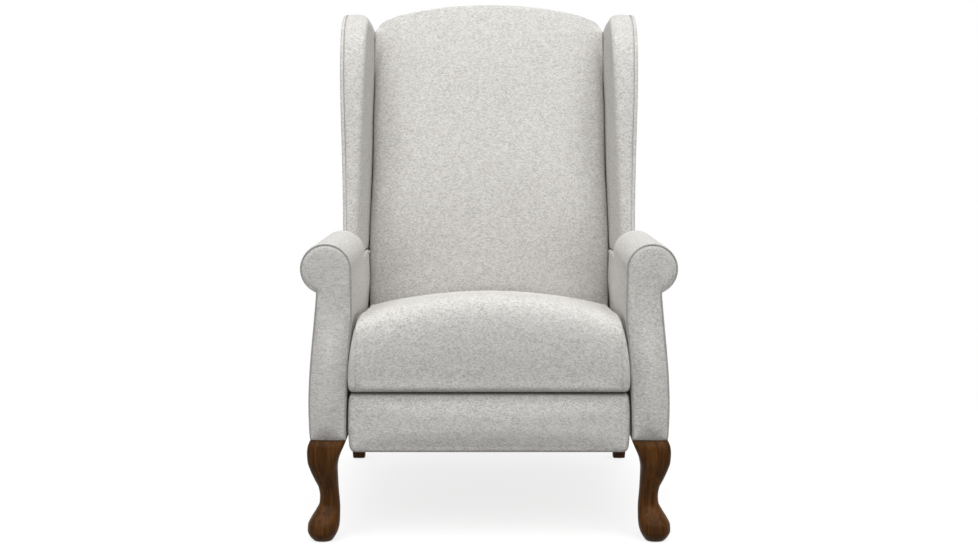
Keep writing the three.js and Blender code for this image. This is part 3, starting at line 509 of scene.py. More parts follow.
def metalFinish(name, colour, rough, metallic, scale, strength):
    r = Recipe(name)
    spot = r.coordinates("object", (1, 1, 1))
    peel = r.noise(spot, scale, 2.0, 0.5)
    rub = r.noise(spot, scale / 14, 4.0, 0.65).between(0.6, 0.72)
    body = r.blend(peel, colour, tuple(1.35 * c for c in colour))
    sockets = {
        "Base Color": r.blend(rub * 0.5, body, tuple(1.8 * c for c in colour)),
        "Roughness": peel * 0.12 + rub * 0.12 + (rough - 0.1),
        "Metallic": metallic,
        "Normal": r.bump(peel, strength, 0.0004),
    }
    return r.finish(sockets)


def strapFinish(name):
    r = Recipe(name)
    u, v, _ = r.parts(r.coordinates("weave", (1000, 1000, 1000)))
    rib = (v * 2.1).sine() * 0.5 + 0.5
    pick = (u * 1.9).sine() * 0.5 + 0.5
    stripe = ((v / 50 + 0.5).fraction() - 0.5).absolute().between(0.2, 0.23)
    fuzz = r.noise(r.vector(u, v), 0.9, 3.0, 0.6)
    body = r.blend(fuzz * 0.7 + rib * 0.3, (0.028, 0.026, 0.024), (0.075, 0.07, 0.064))
    sockets = {
        "Base Color": r.blend(stripe * 0.35, body, (0.16, 0.13, 0.09)),
        "Roughness": 0.88,
        "Normal": r.bump(rib * pick + fuzz * 0.3, 0.5, 0.0005),
    }
    return r.finish(sockets)


def plainFinish(name, colour, rough, scale=900.0, depth=0.2):
    r = Recipe(name)
    spot = r.noise(r.coordinates("object", (1, 1, 1)), scale, 3.0, 0.6)
    dark, light = (tuple(tone * c for c in colour) for tone in (0.75, 1.2))
    sockets = {
        "Base Color": r.blend(spot, dark, light),
        "Roughness": spot * 0.2 + (rough - 0.1),
        "Normal": r.bump(spot, depth, 0.0003),
    }
    return r.finish(sockets)


walnut = [(0.03, 0.0105, 0.0018), (0.066, 0.025, 0.0048), (0.12, 0.045, 0.0095)]
beech = [(0.24, 0.14, 0.07), (0.48, 0.31, 0.17), (0.62, 0.44, 0.27)]
finishes = {
    "tweed": tweedFinish("greyTweed"),
    # the welts are the same tweed, darkened to a tone of 0.66 as painted shade: it stands in for the
    # crease shading on either side of each welt
    "welt": tweedFinish("greyTweedWelt", 0.66, 0.8),
    "walnut": woodFinish("walnutSatin", walnut, 2, 0.42, shine=0.05, coat=0.06),
    "hardwoodX": woodFinish("beechAcross", beech, 0, 0.62),
    "hardwoodY": woodFinish("beechLengthwise", beech, 1, 0.62),
    "hardwoodZ": woodFinish("beechUpright", beech, 2, 0.62),
    "steel": metalFinish("blackEnamelSteel", (0.016, 0.016, 0.018), 0.42, 0.35, 900, 0.12),
    "wire": metalFinish("drawnSpringWire", (0.33, 0.32, 0.3), 0.38, 0.95, 1400, 0.1),
    "zinc": metalFinish("zincPlate", (0.52, 0.53, 0.55), 0.36, 0.95, 1200, 0.1),
    "strap": strapFinish("elasticWebbing"),
    "thread": plainFinish("sewingThread", (0.46, 0.44, 0.41), 0.8),
    "nylon": plainFinish("nylonGlide", (0.05, 0.045, 0.04), 0.5, 500.0),
    # black cambric, used only for the dust cloth, which is also a painted shade sheet under the seat
    "lining": plainFinish("blackCambric", (0.03, 0.03, 0.031), 0.92, 2400.0, 0.5),
}
print("finishes mixed")


def dress(piece, finish, slot, body, *nodes):
    piece.data.materials.clear()
    piece.data.materials.append(finishes[finish])
    piece.data.polygons.foreach_set("material_index", [0] * len(piece.data.polygons))
    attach(piece, body)
    if nodes:
        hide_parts(*nodes)
    return piece


def upholster(piece, body, *nodes):
    return dress(piece, "tweed", "fabric", body, *nodes)


# ---- node trees that repeat a shape along a path


class Growth:
    def __init__(self, name, sizes):
        self.tree = bpy.data.node_groups.new(name, "GeometryNodeTree")
        self.socket("Geometry", "Geometry", "OUTPUT")
        self.socket("Geometry", "Geometry")
        for title, value in sizes.items():
            kind = "Int" if isinstance(value, int) else "Float"
            self.socket(title, kind).default_value = value
        self.socket("Material", "Material")
        self.start = self.tree.nodes.new("NodeGroupInput").outputs

    def socket(self, title, kind, way="INPUT"):
        face = self.tree.interface
        return face.new_socket(name=title, in_out=way, socket_type="NodeSocket" + kind)

    def add(self, kind, sockets, settings=None):
        made = self.tree.nodes.new(kind)
        for key, value in (settings or {}).items():
            setattr(made, key, value)
        for key, value in sockets.items():
            if isinstance(value, bpy.types.NodeSocket):
                self.tree.links.new(value, made.inputs[key])
            else:
                made.inputs[key].default_value = value
        return made.outputs

    # keeps a number with the points of a shape, for use after the shape has changed
    def kept(self, title, geometry, value):
        made = self.tree.nodes.new("GeometryNodeCaptureAttribute")
        made.capture_items.new("FLOAT", title)
        self.tree.links.new(geometry, made.inputs["Geometry"])
        self.tree.links.new(value, made.inputs[title])
        return made.outputs

    def vector(self, x, y, z=0.0):
        return self.add("ShaderNodeCombineXYZ", {"X": x, "Y": y, "Z": z})[0]

    def path(self):
        return self.add("GeometryNodeMeshToCurve", {"Mesh": self.start["Geometry"]})[0]

    def close(self, geometry):
        smooth = self.add("GeometryNodeSetShadeSmooth", {"Geometry": geometry})
        solid = self.add("GeometryNodeRealizeInstances", {"Geometry": smooth[0]})
        sockets = {"Geometry": solid[0], "Material": self.start["Material"]}
        painted = self.add("GeometryNodeSetMaterial", sockets)
        self.tree.links.new(painted[0], self.tree.nodes.new("NodeGroupOutput").inputs[0])
        return self.tree


# round cord or wire along a path, with its weave laid lengthwise
def makeCordTree():
    g = Growth("cordAlongPath", {"Radius": 0.002, "Step": 0.004, "Corners": 10})
    spaced = {"Curve": g.path(), "Length": g.start["Step"]}
    even = g.add("GeometryNodeResampleCurve", spaced, {"mode": "LENGTH"})
    run = g.add("GeometryNodeSplineParameter", {})["Length"]
    length = g.kept("run", even[0], run)
    outline = {"Radius": g.start["Radius"], "Resolution": g.start["Corners"]}
    turn = g.kept("turn", g.add("GeometryNodeCurvePrimitiveCircle", outline)[0], run)
    swept = {"Curve": length["Geometry"], "Profile Curve": turn["Geometry"], "Fill Caps": True}
    cord = g.add("GeometryNodeCurveToMesh", swept)
    flat = {"Geometry": cord[0], "Name": "weave", "Value": g.vector(length["run"], turn["turn"])}
    stored = {"data_type": "FLOAT2", "domain": "CORNER"}
    return g.close(g.add("GeometryNodeStoreNamedAttribute", flat, stored)[0])


# short stitches at an even pitch along a path
def makeStitchTree():
    g = Growth("stitchesAlongPath", {"Pitch": 0.005, "Length": 0.0034, "Thickness": 0.0008})
    spaced = {"Curve": g.path(), "Length": g.start["Pitch"]}
    spots = g.add("GeometryNodeCurveToPoints", spaced, {"mode": "LENGTH"})
    bead = g.add("GeometryNodeMeshIcoSphere", {"Radius": 0.5, "Subdivisions": 2})
    thick = g.start["Thickness"]
    size = g.vector(thick, thick, g.start["Length"])
    sewn = {"Points": spots["Points"], "Instance": bead[0], "Rotation": spots["Rotation"]}
    return g.close(g.add("GeometryNodeInstanceOnPoints", sewn | {"Scale": size})[0])


# a domed head on each point, facing the way of the point's "facing"
def makeHeadTree():
    g = Growth("headsOnPoints", {"Radius": 0.004, "Height": 0.0016})
    ball = g.add("GeometryNodeMeshUVSphere", {"Segments": 20, "Rings": 12, "Radius": 1.0})
    size = g.vector(g.start["Radius"], g.start["Radius"], g.start["Height"])
    dome = g.add("GeometryNodeTransform", {"Geometry": ball[0], "Scale": size})
    named = {"data_type": "FLOAT_VECTOR"}
    facing = g.add("GeometryNodeInputNamedAttribute", {"Name": "facing"}, named)
    turned = g.add("FunctionNodeAlignRotationToVector", {"Vector": facing[0]}, {"axis": "Z"})
    driven = {"Points": g.start["Geometry"], "Instance": dome[0], "Rotation": turned[0]}
    return g.close(g.add("GeometryNodeInstanceOnPoints", driven)[0])


cordTree, stitchTree, headTree = makeCordTree(), makeStitchTree(), makeHeadTree()


# runs a tree over paths or points and returns the finished mesh as its own object
def grown(name, tree, points, edges, values, facing=None):
    start = bpy.data.meshes.new(name + "Path")
    start.from_pydata([tuple(p) for p in points], edges, [])
    if facing is not None:
        way = start.attributes.new("facing", "FLOAT_VECTOR", "POINT")
        way.data.foreach_set("vector", np.asarray(facing, np.float32).ravel())
    piece = newObject(name, start)
    growth = piece.modifiers.new("growth", "NODES")
    growth.node_group = tree
    items = [item for item in tree.interface.items_tree if item.in_out == "INPUT"]
    sockets = {item.name: item.identifier for item in items}
    for key, value in values.items():
        growth[sockets[key]] = value
    return applied(piece)


def alongPaths(name, tree, paths, values):
    edges, start = [], 0
    for path in paths:
        edges += [(i, i + 1) for i in range(start, start + len(path) - 1)]
        start += len(path)
    return grown(name, tree, np.vstack([place(p) for p in paths]), edges, values)


def cords(name, paths, radius, finish, step=4.0, corners=10):
    values = {"Radius": radius * mm, "Step": step * mm, "Corners": corners}
    return alongPaths(name, cordTree, paths, values | {"Material": finishes[finish]})


def stitches(name, paths, pitch, length, thickness):
    values = {"Pitch": pitch * mm, "Length": length * mm, "Thickness": thickness * mm}
    return alongPaths(name, stitchTree, paths, values | {"Material": finishes["thread"]})


def heads(name, spots, facing, radius, height, finish):
    values = {"Radius": radius * mm, "Height": height * mm, "Material": finishes[finish]}
    return grown(name, headTree, place(spots), [], values, facing)


# ---- camera, floor and light

view = {"height": 1019.2, "setback": 3200, "pitch": 82, "lens": 57.8, "sensor": 36}
camera = bpy.data.cameras.new("camera")
camera.lens, camera.sensor_width = view["lens"], view["sensor"]
cameraStand = newObject("camera", camera)
cameraStand.location = (0, frontPlane - view["setback"] * mm, view["height"] * mm)
cameraStand.rotation_euler = (math.radians(view["pitch"]), 0, 0)
bpy.context.scene.camera = cameraStand
bpy.context.scene.view_settings.view_transform = "Standard"

studio = {
    "horizon": 0.29,
    "suns": {
        "key": {"power": 1.92, "softness": 70, "rise": 60, "turn": 0},
        "left": {"power": 0.385, "softness": 40, "rise": 45, "turn": -45},
        "right": {"power": 0.385, "softness": 40, "rise": 45, "turn": 45},
        "top": {"power": 1.1, "softness": 50, "rise": 84, "turn": 0},
    },
    "floorSize": 12.0,
    "floorBounce": 0.25,
    "floorLift": 0.8,
    "floorTone": 0.24,
    "floorFade": (1.0, 1.8),  # metres from the chair, over which the floor turns plain white
}


# a wide soft light far off, turned from straight ahead and raised from the floor by degrees
def skylight(name, power, softness, rise, turn):
    light = bpy.data.lights.new(name + "Light", "SUN")
    light.energy, light.angle = power, math.radians(softness)
    rise, turn = math.radians(rise), math.radians(turn)
    towards = (math.cos(rise) * math.sin(turn), -math.cos(rise) * math.cos(turn), math.sin(rise))
    stand = newObject(name + "Light", light)
    stand.rotation_euler = Vector(towards).to_track_quat("Z", "Y").to_euler()


for name, sun in studio["suns"].items():
    skylight(name, **sun)


# 1 where the camera sees a thing straight, in a reflection or through glass
def seenDirectly(r):
    kinds = ("Is Camera Ray", "Is Glossy Ray", "Is Transmission Ray")
    straight, glossy, through = (r.node("ShaderNodeLightPath", {}, {}, k) for k in kinds)
    return (straight + glossy + through).clamped()


class Sky(Recipe):
    def __init__(self, name):
        world = bpy.data.worlds.new(name)
        world.use_nodes = True
        bpy.context.scene.world = world
        self.tree = world.node_tree
        self.shader = self.tree.nodes["Background"]


def studioSky():
    r = Sky("studio")
    rise = r.parts(r.node("ShaderNodeTexCoord", {}, {}, "Generated"))[2]
    dome = (rise * 1000).clamped() * studio["horizon"]
    seen = seenDirectly(r)
    r.fill(r.shader.inputs, {"Color": (1, 1, 1, 1), "Strength": dome * (1 - seen) + seen})


def floorFinish():
    r = Recipe("studioFloor")
    x, y, _ = r.parts(r.node("ShaderNodeTexCoord", {}, {}, "Object"))
    far = ((x * x + y * y) ** 0.5).between(*studio["floorFade"])
    shade, lift = (1 - far) * studio["floorTone"], studio["floorLift"]
    shown = r.node("ShaderNodeBsdfDiffuse", {}, {"Color": r.vector(shade, shade, shade)})
    glow = r.node("ShaderNodeEmission", {}, {"Strength": far * (1 - lift) + lift})
    both = r.node("ShaderNodeAddShader", {}, {0: shown, 1: glow})
    bounce = studio["floorBounce"]
    dull = r.node("ShaderNodeBsdfDiffuse", {}, {"Color": (bounce, bounce, bounce, 1)})
    pick = r.node("ShaderNodeMixShader", {}, {0: seenDirectly(r), 1: dull, 2: both})
    r.fill(r.tree.nodes["Material Output"].inputs, {"Surface": pick})
    return r.material


studioSky()
floorMesh = bpy.data.meshes.new("studioFloor")
corners = [(x * studio["floorSize"], y * studio["floorSize"], 0) for x in (-1, 1) for y in (-x, x)]
floorMesh.from_pydata(corners, [], [(1, 2, 3, 0)])
floorMesh.materials.append(floorFinish())
studioFloor = newObject("studioFloor", floorMesh)
print("camera and light set")


# ---- legs

cabriole = {
    "innerX": 299,
    "width": 75.5,
    "frontY": -2.6,
    "corners": 48,
    "rings": 72,
    "glide": 1.2,
    "glideRadius": 14,
    "footShare": 0.695,  # where the middle of the foot lies across the width
    # share of the height, inner and outer outline as shares of the width, squareness
    "shares": [
        (1, 0, 1, 9), (0.94, 0.07, 1.075, 7), (0.87, 0.16, 1.1, 5), (0.79, 0.24, 1.09, 4),
        (0.71, 0.27, 1.035, 3.2), (0.6, 0.265, 0.92, 2.8), (0.51, 0.26, 0.815, 2.6),
        (0.43, 0.245, 0.785, 2.5), (0.36, 0.23, 0.8, 2.5), (0.29, 0.22, 0.9, 2.5),
        (0.22, 0.22, 1.03, 2.4), (0.15, 0.235, 1.12, 2.3), (0.1, 0.27, 1.125, 2.3),
        (0.05, 0.34, 1.07, 2.2), (0, 0.44, 0.95, 2.2),
    ],
}


def cabrioleRings(side):
    width, tall = cabriole["width"], chair["legHeight"]
    heights = np.linspace(1, cabriole["glide"] / tall, cabriole["rings"])
    rings = []
    for height, (inner, outer, power) in zip(heights, follow(cabriole["shares"], heights)):
        half, middle = (outer - inner) * width / 2, (outer + inner) * width / 2
        x, y = cabriole["innerX"] + middle, cabriole["frontY"] + width - middle
        ring = superellipse(cabriole["corners"], half, power)
        rings.append([(side * (x + u), y + v, height * tall) for u, v in ring])
    return rings


rearLeg = {
    "x": 331,
    "topWidth": 44,
    "footWidth": 30.4,
    "topY": 640,
    "footY": 708,
    "squareness": 8,
    "corners": 40,
    "glideRadius": 11,
    # share of the height, how far the edge under the foot is eased there
    "foot": [(0, 2.2), (0.004, 0.7), (0.012, 0)],
}


def rearLegRings(side):
    rings = []
    for share, inset in [*rearLeg["foot"], *((s, 0) for s in np.linspace(0.08, 1, 14))]:
        z = share * (chair["legHeight"] - cabriole["glide"]) + cabriole["glide"]
        rise = z / chair["legHeight"]
        width = rearLeg["footWidth"] + rise * (rearLeg["topWidth"] - rearLeg["footWidth"])
        y = rearLeg["footY"] + rise * (rearLeg["topY"] - rearLeg["footY"])
        ring = superellipse(rearLeg["corners"], width / 2 - inset, rearLeg["squareness"])
        rings.append([(side * rearLeg["x"] + u, y + v, z) for u, v in ring])
    return rings


def glide(name, x, y, radius):
    turns = np.linspace(0, 2 * math.pi, 28, endpoint=False)
    levels = ((radius - 1, 0), (radius, 0.6), (radius, cabriole["glide"] + 0.4))
    rings = [[(x + r * math.cos(t), y + r * math.sin(t), z) for t in turns] for r, z in levels]
    return tube(name, rings)


for sideName, side in sides.items():
    leg = tube("cabrioleLeg_" + sideName, cabrioleRings(side))
    dress(leg, "walnut", "walnut", "base", "front_leg_" + sideName)
    leg = tube("rearLeg_" + sideName, rearLegRings(side))
    dress(leg, "walnut", "walnut", "base", "rear_leg_" + sideName)
    footX = cabriole["innerX"] + cabriole["footShare"] * cabriole["width"]
    footY = cabriole["frontY"] + (1 - cabriole["footShare"]) * cabriole["width"]
    spots = {
        "frontGlide_": (side * footX, footY, cabriole["glideRadius"]),
        "rearGlide_": (side * rearLeg["x"], rearLeg["footY"], rearLeg["glideRadius"]),
    }
    for title, spot in spots.items():
        dress(glide(title + sideName, *spot), "nylon", "walnut", "base")
print("legs turned")

# ---- arms

arm = {
    "innerX": 283.4,
    "rollX": 336.5,
    "rollZ": 581.3,
    "rollRadius": 52.6,
    "rearRadius": 50,
    "rearDrop": 13,
    "rollFrom": 16.3,
    "length": 392,
    "endRound": 5,
    "faceY": 6,  # behind the arm's face panel the cloth wraps back over the roll
    "frontYs": [6, 7.2, 9.0, 12.0],
    "frontRound": 3.0,
    "bendZ": 478,
    "pullX": 298.4,
    "pullZ": 351.5,
    "bottomX": 300,
    "coreX": 317.7,
    "railY": 629.7,  # behind this the inside arm ends on top of the rear cover
    "railZ": 338.3,
    "clearY": 110,
    "clearZ": 270,
    "outerBottomX": 374,
    "bellyX": 383,
    "bellyZ": 330,
    "waistX": 366,
    "waistZ": 420,
    "notchX": 356.6,
    "notchZ": 532.2,
    "shellX": 340.3,
    "topZ": 557,
    "slopeY": 540,
    "slopeEndZ": 492,
    "openY": 381,  # behind this the inside arm ends on the side frame, not on the roll
    "wrap": 2.5,  # the outside cover turns in over the frame's top and rear edges
    "sideRearY": 664,
    "sideRound": 8.0,
    "weltRadius": 2.1,
    "weltInset": 1.9,
    "weltY": 2.6,
    "faceCrown": 2.2,
    "faceCrownReach": 14,  # from its edge the face panel rises over this distance
    "faceStep": 6.0,
    "faceRims": [(0.4, 5.8), (0.4, 3.4), (2.4, 2.0), (4.6, 1.4), (6.0, 0.4)],  # inset, y
    "stemSwell": 16,
    "stemReach": 40,
    "innerSwell": 2.2,
    "swellZs": (240, 570),
    "swellYs": (-20, 60),
    "rearEase": 5,  # the inside arm draws outward beside the back cushion
    "rearEaseYs": (330, 430),
    "drawnIn": (60, 3),  # from how far below its top the inside arm draws in to the roll, and to
    # height, share of the swell on the front there
    "stem": [
        (226, 0), (236, 0.35), (256, 0.75), (300, 0.97), (350, 1),
        (390, 0.9), (420, 0.68), (450, 0.36), (480, 0.1), (508, 0),
    ],
}
armBottomZ = chair["legHeight"] + chair["seam"]


def rollAt(y):
    share = (y - arm["rollFrom"]) / (arm["length"] - arm["rollFrom"])
    radius = arm["rollRadius"] + (arm["rearRadius"] - arm["rollRadius"]) * share
    return arm["rollZ"] - arm["rearDrop"] * share, radius


def frontDrop(y):
    return roundedDrop(arm["frontRound"], y - arm["faceY"] + 0.6)


def armSideTop(y):
    fall = (arm["topZ"] - arm["slopeEndZ"]) / (arm["sideRearY"] - arm["slopeY"])
    return arm["topZ"] - max(0.0, y - arm["slopeY"]) * fall


def innerSwell(y, z):
    low, high = arm["swellZs"]
    bow = np.sin(np.clip((z - low) / (high - low), 0, 1) * math.pi)
    return arm["innerSwell"] * bow * easeIn(*arm["swellYs"], y)


# the inside of the arm, from its foot up to the roll
def innerArmLine(count):
    start, pull = (arm["innerX"], arm["bendZ"]), (arm["pullX"], arm["pullZ"])
    return bezier([start, pull, (arm["bottomX"], armBottomZ)], np.linspace(1, 0, count))


def outerArmLine(count):
    corners = [(arm[end + "X"], arm[end + "Z"]) for end in ("belly", "waist", "notch")]
    return bezier([(arm["outerBottomX"], armBottomZ), *corners], np.linspace(0, 1, count))


def rollArc(z, radius, low, count):
    turn = np.linspace(math.pi, low, count)
    return np.stack([arm["rollX"] + radius * np.cos(turn), z + radius * np.sin(turn)], 1)


# outline of the arm's face from its inner foot, up, over the roll and down to its outer foot
def faceOutline(count):
    notch = math.atan2(arm["notchZ"] - arm["rollZ"], arm["notchX"] - arm["rollX"])
    roll = rollArc(arm["rollZ"], arm["rollRadius"], notch, 90)
    return evenly(np.vstack([innerArmLine(40), roll, outerArmLine(50)[::-1]]), count)


def insideLoop(loop, x, z):
    xs, zs = loop.T
    xn, zn = np.roll(xs, -1), np.roll(zs, -1)
    crosses = (zs > z) != (zn > z)
    at = xs + (z - zs) * (xn - xs) / np.where(zn == zs, 1e-9, zn - zs)
    return bool(np.count_nonzero(crosses & (at > x)) % 2)


# turns loose faces the same way round as their neighbours, each from the corner it had first
def consistent(points, faces):
    check = bmesh.new()
    corners = [check.verts.new(p) for p in points]
    made = [check.faces.new([corners[i] for i in f]) for f in faces]
    bmesh.ops.recalc_face_normals(check, faces=made)
    check.verts.index_update()
    turned = []
    for face, given in zip(made, faces):
        now = [v.index for v in face.verts]
        at = now.index(given[0])
        turned.append(now[at:] + now[:at])
    check.free()
    return turned


# the face panel: a thin upholstered board, softly crowned, its edge tucked behind the welt
def armFacePiece(name, side):
    line = faceOutline(260)
    loop = np.vstack([line, evenly([line[-1], line[0]], 18)[1:-1]])
    rims = [insetLine(loop, inset) for inset, _ in arm["faceRims"]]
    for rim in rims:
        rim[:, 1] = np.maximum(rim[:, 1], armBottomZ + 0.1)
    rim, sideRim, count = rims[-1], rims[-1][: len(line)], len(loop)
    step = arm["faceStep"]
    grid = [(x, z) for x in np.arange(270, 392, step) for z in np.arange(armBottomZ + 6, 640, step)]
    clear = [p for p in grid if np.linalg.norm(rim - p, axis=1).min() > 0.7 * step]
    flat = [Vector(p) for p in [*rim, *(p for p in clear if insideLoop(rim, *p))]]
    edges = [(i, (i + 1) % count) for i in range(count)]
    spots, _, faces, origins, _, _ = delaunay_2d_cdt(flat, edges, [], 1, 1e-6)
    heights = np.linspace(arm["stem"][0][0], arm["stem"][-1][0], 60)
    shares = follow(arm["stem"], heights)
    crown = []
    for x, z in spots:
        near, fromSide = (np.linalg.norm(r - (x, z), axis=1).min() for r in (rim, sideRim))
        stem = arm["stemSwell"] * float(np.interp(z, heights, shares))
        swell = arm["faceCrown"] * (1 - math.exp(-near / arm["faceCrownReach"]))
        swell += stem * math.sin(min(1, fromSide / arm["stemReach"]) * math.pi / 2)
        crown.append((x, arm["faceRims"][-1][1] - swell, z))
    ringOf = {origin: index for index, found in enumerate(origins) for origin in found}
    points, order = [], []
    for rim, (_, y) in zip(rims[:-1], arm["faceRims"]):
        order.append([len(points) + i for i in range(count)])
        points += [(x, y, z) for x, z in rim]
    base = len(points)
    points = place(np.asarray(points + crown) * (side, 1, 1))
    order.append([base + ringOf[i] for i in range(count)])
    skin = []
    for low, high in zip(order, order[1:]):
        skin += [(low[i], low[j], high[j], high[i]) for i, j in edges]
    skin += [[base + i for i in f] for f in faces]
    skin.append(order[0][::-1])
    weave = [(points[i][0], points[i][2]) for face in skin for i in face]
    return meshFrom(name, points, consistent(points, skin), weave)


def armRollPiece(name, side):
    last, ease = arm["length"] - arm["endRound"], arm["endRound"]
    end = last + ease * np.sin(np.linspace(0.2, math.pi / 2, 8))
    rings = []
    for y in np.r_[arm["frontYs"], np.linspace(18, last, 60), end]:
        z, radius = rollAt(y)
        late = max(0.0, (y - last) / ease)
        radius -= frontDrop(y) + ease * (1 - math.sqrt(max(0.0, 1 - late**2)))
        roll = rollArc(z, radius, -math.radians(111), 84)
        back = evenly([roll[-1], (arm["rollX"], z), roll[0]], 16)[1:-1]
        rings.append([(side * x, y, h) for x, h in [*roll, *back]])
    return tube(name, rings, turned=True)


# the cloth inside the arm, which runs on behind the roll, under the wing
def innerArmPiece(name, side):
    railY, sideRearY = arm["railY"], arm["sideRearY"]
    beside = np.r_[arm["frontYs"], np.linspace(18, 378, 46), 380.5, 382, np.linspace(390, railY, 24)]
    low = innerArmLine(40)
    outer, inner = [], []
    for y in np.r_[beside, railY + 0.2, np.linspace(railY + 4, sideRearY, 6)]:
        rollZ, radius = rollAt(min(y, arm["length"]))
        top = rollZ if y < arm["openY"] else armSideTop(y) - 1.5
        line = np.vstack([low, [(arm["innerX"], z) for z in np.linspace(486, top, 12)]])
        bottom = armBottomZ if y < arm["clearY"] else arm["clearZ"]
        z = np.maximum(line[:, 1], arm["railZ"] if y > railY else bottom)
        x = np.interp(z, line[:, 1], line[:, 0]) + frontDrop(y)
        x = x + arm["rearEase"] * easeIn(*arm["rearEaseYs"], y)
        swell = innerSwell(y, z)
        # towards its top the cover draws in to the roll, so that no edge stands out there
        proud = arm["rollX"] - radius + 0.5 - (x - swell)
        x = x + np.maximum(0, proud) * easeIn(*(top - below for below in arm["drawnIn"]), z)
        outer.append([(side * a, y, h) for a, h in zip(x - swell, z)])
        inner.append([(side * arm["coreX"], y, h) for h in z])
    return slab(name, outer, inner, turned=True)


def outsideArmPiece(name, side):
    length, slopeY, rear = arm["length"], arm["slopeY"], arm["sideRearY"] - arm["sideRound"]
    top = np.r_[length - 0.1, length + 0.1, np.linspace(398, slopeY, 16)]
    turn = rear + arm["sideRound"] * np.sin(np.linspace(0.2, math.pi / 2, 7))
    line = np.vstack([outerArmLine(80), [(arm["notchX"], z) for z in (536, 542, 548)]])
    share = np.linspace(0, 1, 60)
    ys = np.r_[arm["frontYs"], np.linspace(18, 386, 44), top, np.linspace(slopeY + 6, rear, 14), turn]
    outer, inner = [], []
    for y in ys:
        z, radius = rollAt(y)
        high = innerHigh = armSideTop(y) - 1.2
        if y < length:
            high = z - math.sqrt(radius**2 - (arm["notchX"] - arm["rollX"]) ** 2) - 0.4
            innerHigh = min(high, z - radius - 0.4)
        h = armBottomZ + share * (high - armBottomZ)
        x = np.interp(h, line[:, 1], line[:, 0]) - frontDrop(y)
        x = x - roundedDrop(arm["sideRound"], arm["sideRearY"] - y + 0.02)
        x = x - roundedDrop(3.0, h - armBottomZ)
        if y >= length:
            x = x - roundedDrop(6.0, high - h)
        outer.append([(side * a, y, b) for a, b in zip(x, h)])
        h = armBottomZ + share * (innerHigh - armBottomZ)
        inner.append([(side * arm["shellX"], y, b) for b in h])
    return slab(name, outer, inner, turned=True)


# the cover's turn over the side frame's edges, from the end of the roll down to the rear foot
def armEdgePiece(name, side):
    rear = arm["sideRearY"]
    top = [(y, armSideTop(y)) for y in np.linspace(arm["openY"], rear - 6, 60)]
    fall = [(rear, z) for z in np.linspace(top[-1][1] - 6, armBottomZ, 50)]
    path = curveThrough([*top, *fall], 150)
    under = insetLine(path, arm["wrap"] - 0.2, closed=False)
    xs = np.linspace(arm["shellX"] - 22, arm["shellX"] + 2, 8) * side
    return slab(name, sheetOf(path, xs), sheetOf(under, xs))


for sideName, side in sides.items():
    inside, roll = innerArmPiece("innerArm", side), armRollPiece("armRoll", side)
    cover = united("armCover_" + sideName, inside, roll)
    upholster(cover, "base", "arm_pad_" + sideName)
    facePiece = armFacePiece("armFace_" + sideName, side)
    upholster(facePiece, "base", "arm_front_" + sideName)
    outside = outsideArmPiece("outsideArm_" + sideName, side)
    upholster(outside, "base", "outside_arm_" + sideName)
    upholster(armEdgePiece("armEdge_" + sideName, side), "base")
    line = insetLine(faceOutline(300), arm["weltInset"])[1:-1]
    path = [(side * x, arm["weltY"], z) for x, z in line]
    welt = cords("armWelt_" + sideName, [path], arm["weltRadius"], "welt")
    dress(welt, "welt", "fabric", "base")
print("arms covered")

# ---- seat cushion

cushion = {
    "halfX": 289,
    "cornerX": 273,
    "midZ": 381,
    "bottomZ": 323,
    "frontZ": 480,
    "setback": 14,
    "crown": 50,
    "crownFade": 0.35,  # share of the crown lost towards the rear
    "rearFall": 50,
    "besideX": 235,  # from here outward it follows the insides of the arms
    "wrapY": 44,
    "restZ": 376.6,
    "topPower": 2.6,
    "bottomPower": 4,
    "armGap": 0.8,
    "columns": 60,
    "outlinePoints": 132,
    "tuck": 3.5,  # the cover is drawn in by this where nothing holds it
    "freeZs": (326, 350),
    "freeRearY": 470,
    "heldZ": 380,
    "seamX": 274.5,
    "seamLowZ": 330,
    "seamRearY": 480,
    # the sewn edge: place beside the seam, half width, depth
    "seamLines": [(0, 1.3, -1.3), (-2.7, 0.9, 1.4), (2.7, 0.9, 1.4), (-8.2, 0.9, 0.9)],
    # its side outline: share of the depth, share of the height there
    "outline": [
        (0.08, 0), (0.02, 0), (-0.014, 0.012), (-0.026, 0.08), (-0.031, 0.3), (-0.031, 0.5),
        (-0.024, 0.7), (-0.006, 0.85), (0.025, 0.95), (0.07, 1), (0.15, 1.03), (0.25, 1.03),
        (0.4, 1.01), (0.6, 1), (0.8, 1), (0.97, 1), (1, 0.93), (1, 0.5), (1, 0), (0.6, 0),
    ],
}


def cushionRing(x, outline):
    halfX, cornerX, midZ, bottomZ = (cushion[k] for k in ("halfX", "cornerX", "midZ", "bottomZ"))
    beyond = min(max(0, (abs(x) - cornerX) / (halfX - cornerX)), 0.99)

    def rounded(power):
        return 1 - (1 - beyond**power) ** (1 / power)

    edge = rounded(cushion["topPower"])
    depth, height = outline.T
    ahead = np.maximum(0, depth)
    sideTop = cushion["frontZ"] - cushion["rearFall"] * ahead
    crown = cushion["crown"] * (1 - cushion["crownFade"] * ahead)
    crown = crown * max(0, 1 - (abs(x) / cornerX) ** 2)
    top = sideTop + crown - edge * (sideTop - midZ)
    bottom = bottomZ + rounded(cushion["bottomPower"]) * (midZ - bottomZ)
    y = depth * chair["seatDepth"] + np.where(depth < 0.1, cushion["setback"] * edge, 0)
    z = bottom + height * (top - bottom)
    z = np.where(y > cushion["wrapY"], np.maximum(z, cushion["restZ"]), z)
    # its sides follow the insides of the arms
    low = innerArmLine(40)
    beside = np.interp(z, low[:, 1], low[:, 0]) - cushion["armGap"] - innerSwell(y, z)
    x = x + np.sign(x) * (beside - halfX) * easeIn(cushion["besideX"], halfX, abs(x))
    return np.stack([x, y, z], 1)


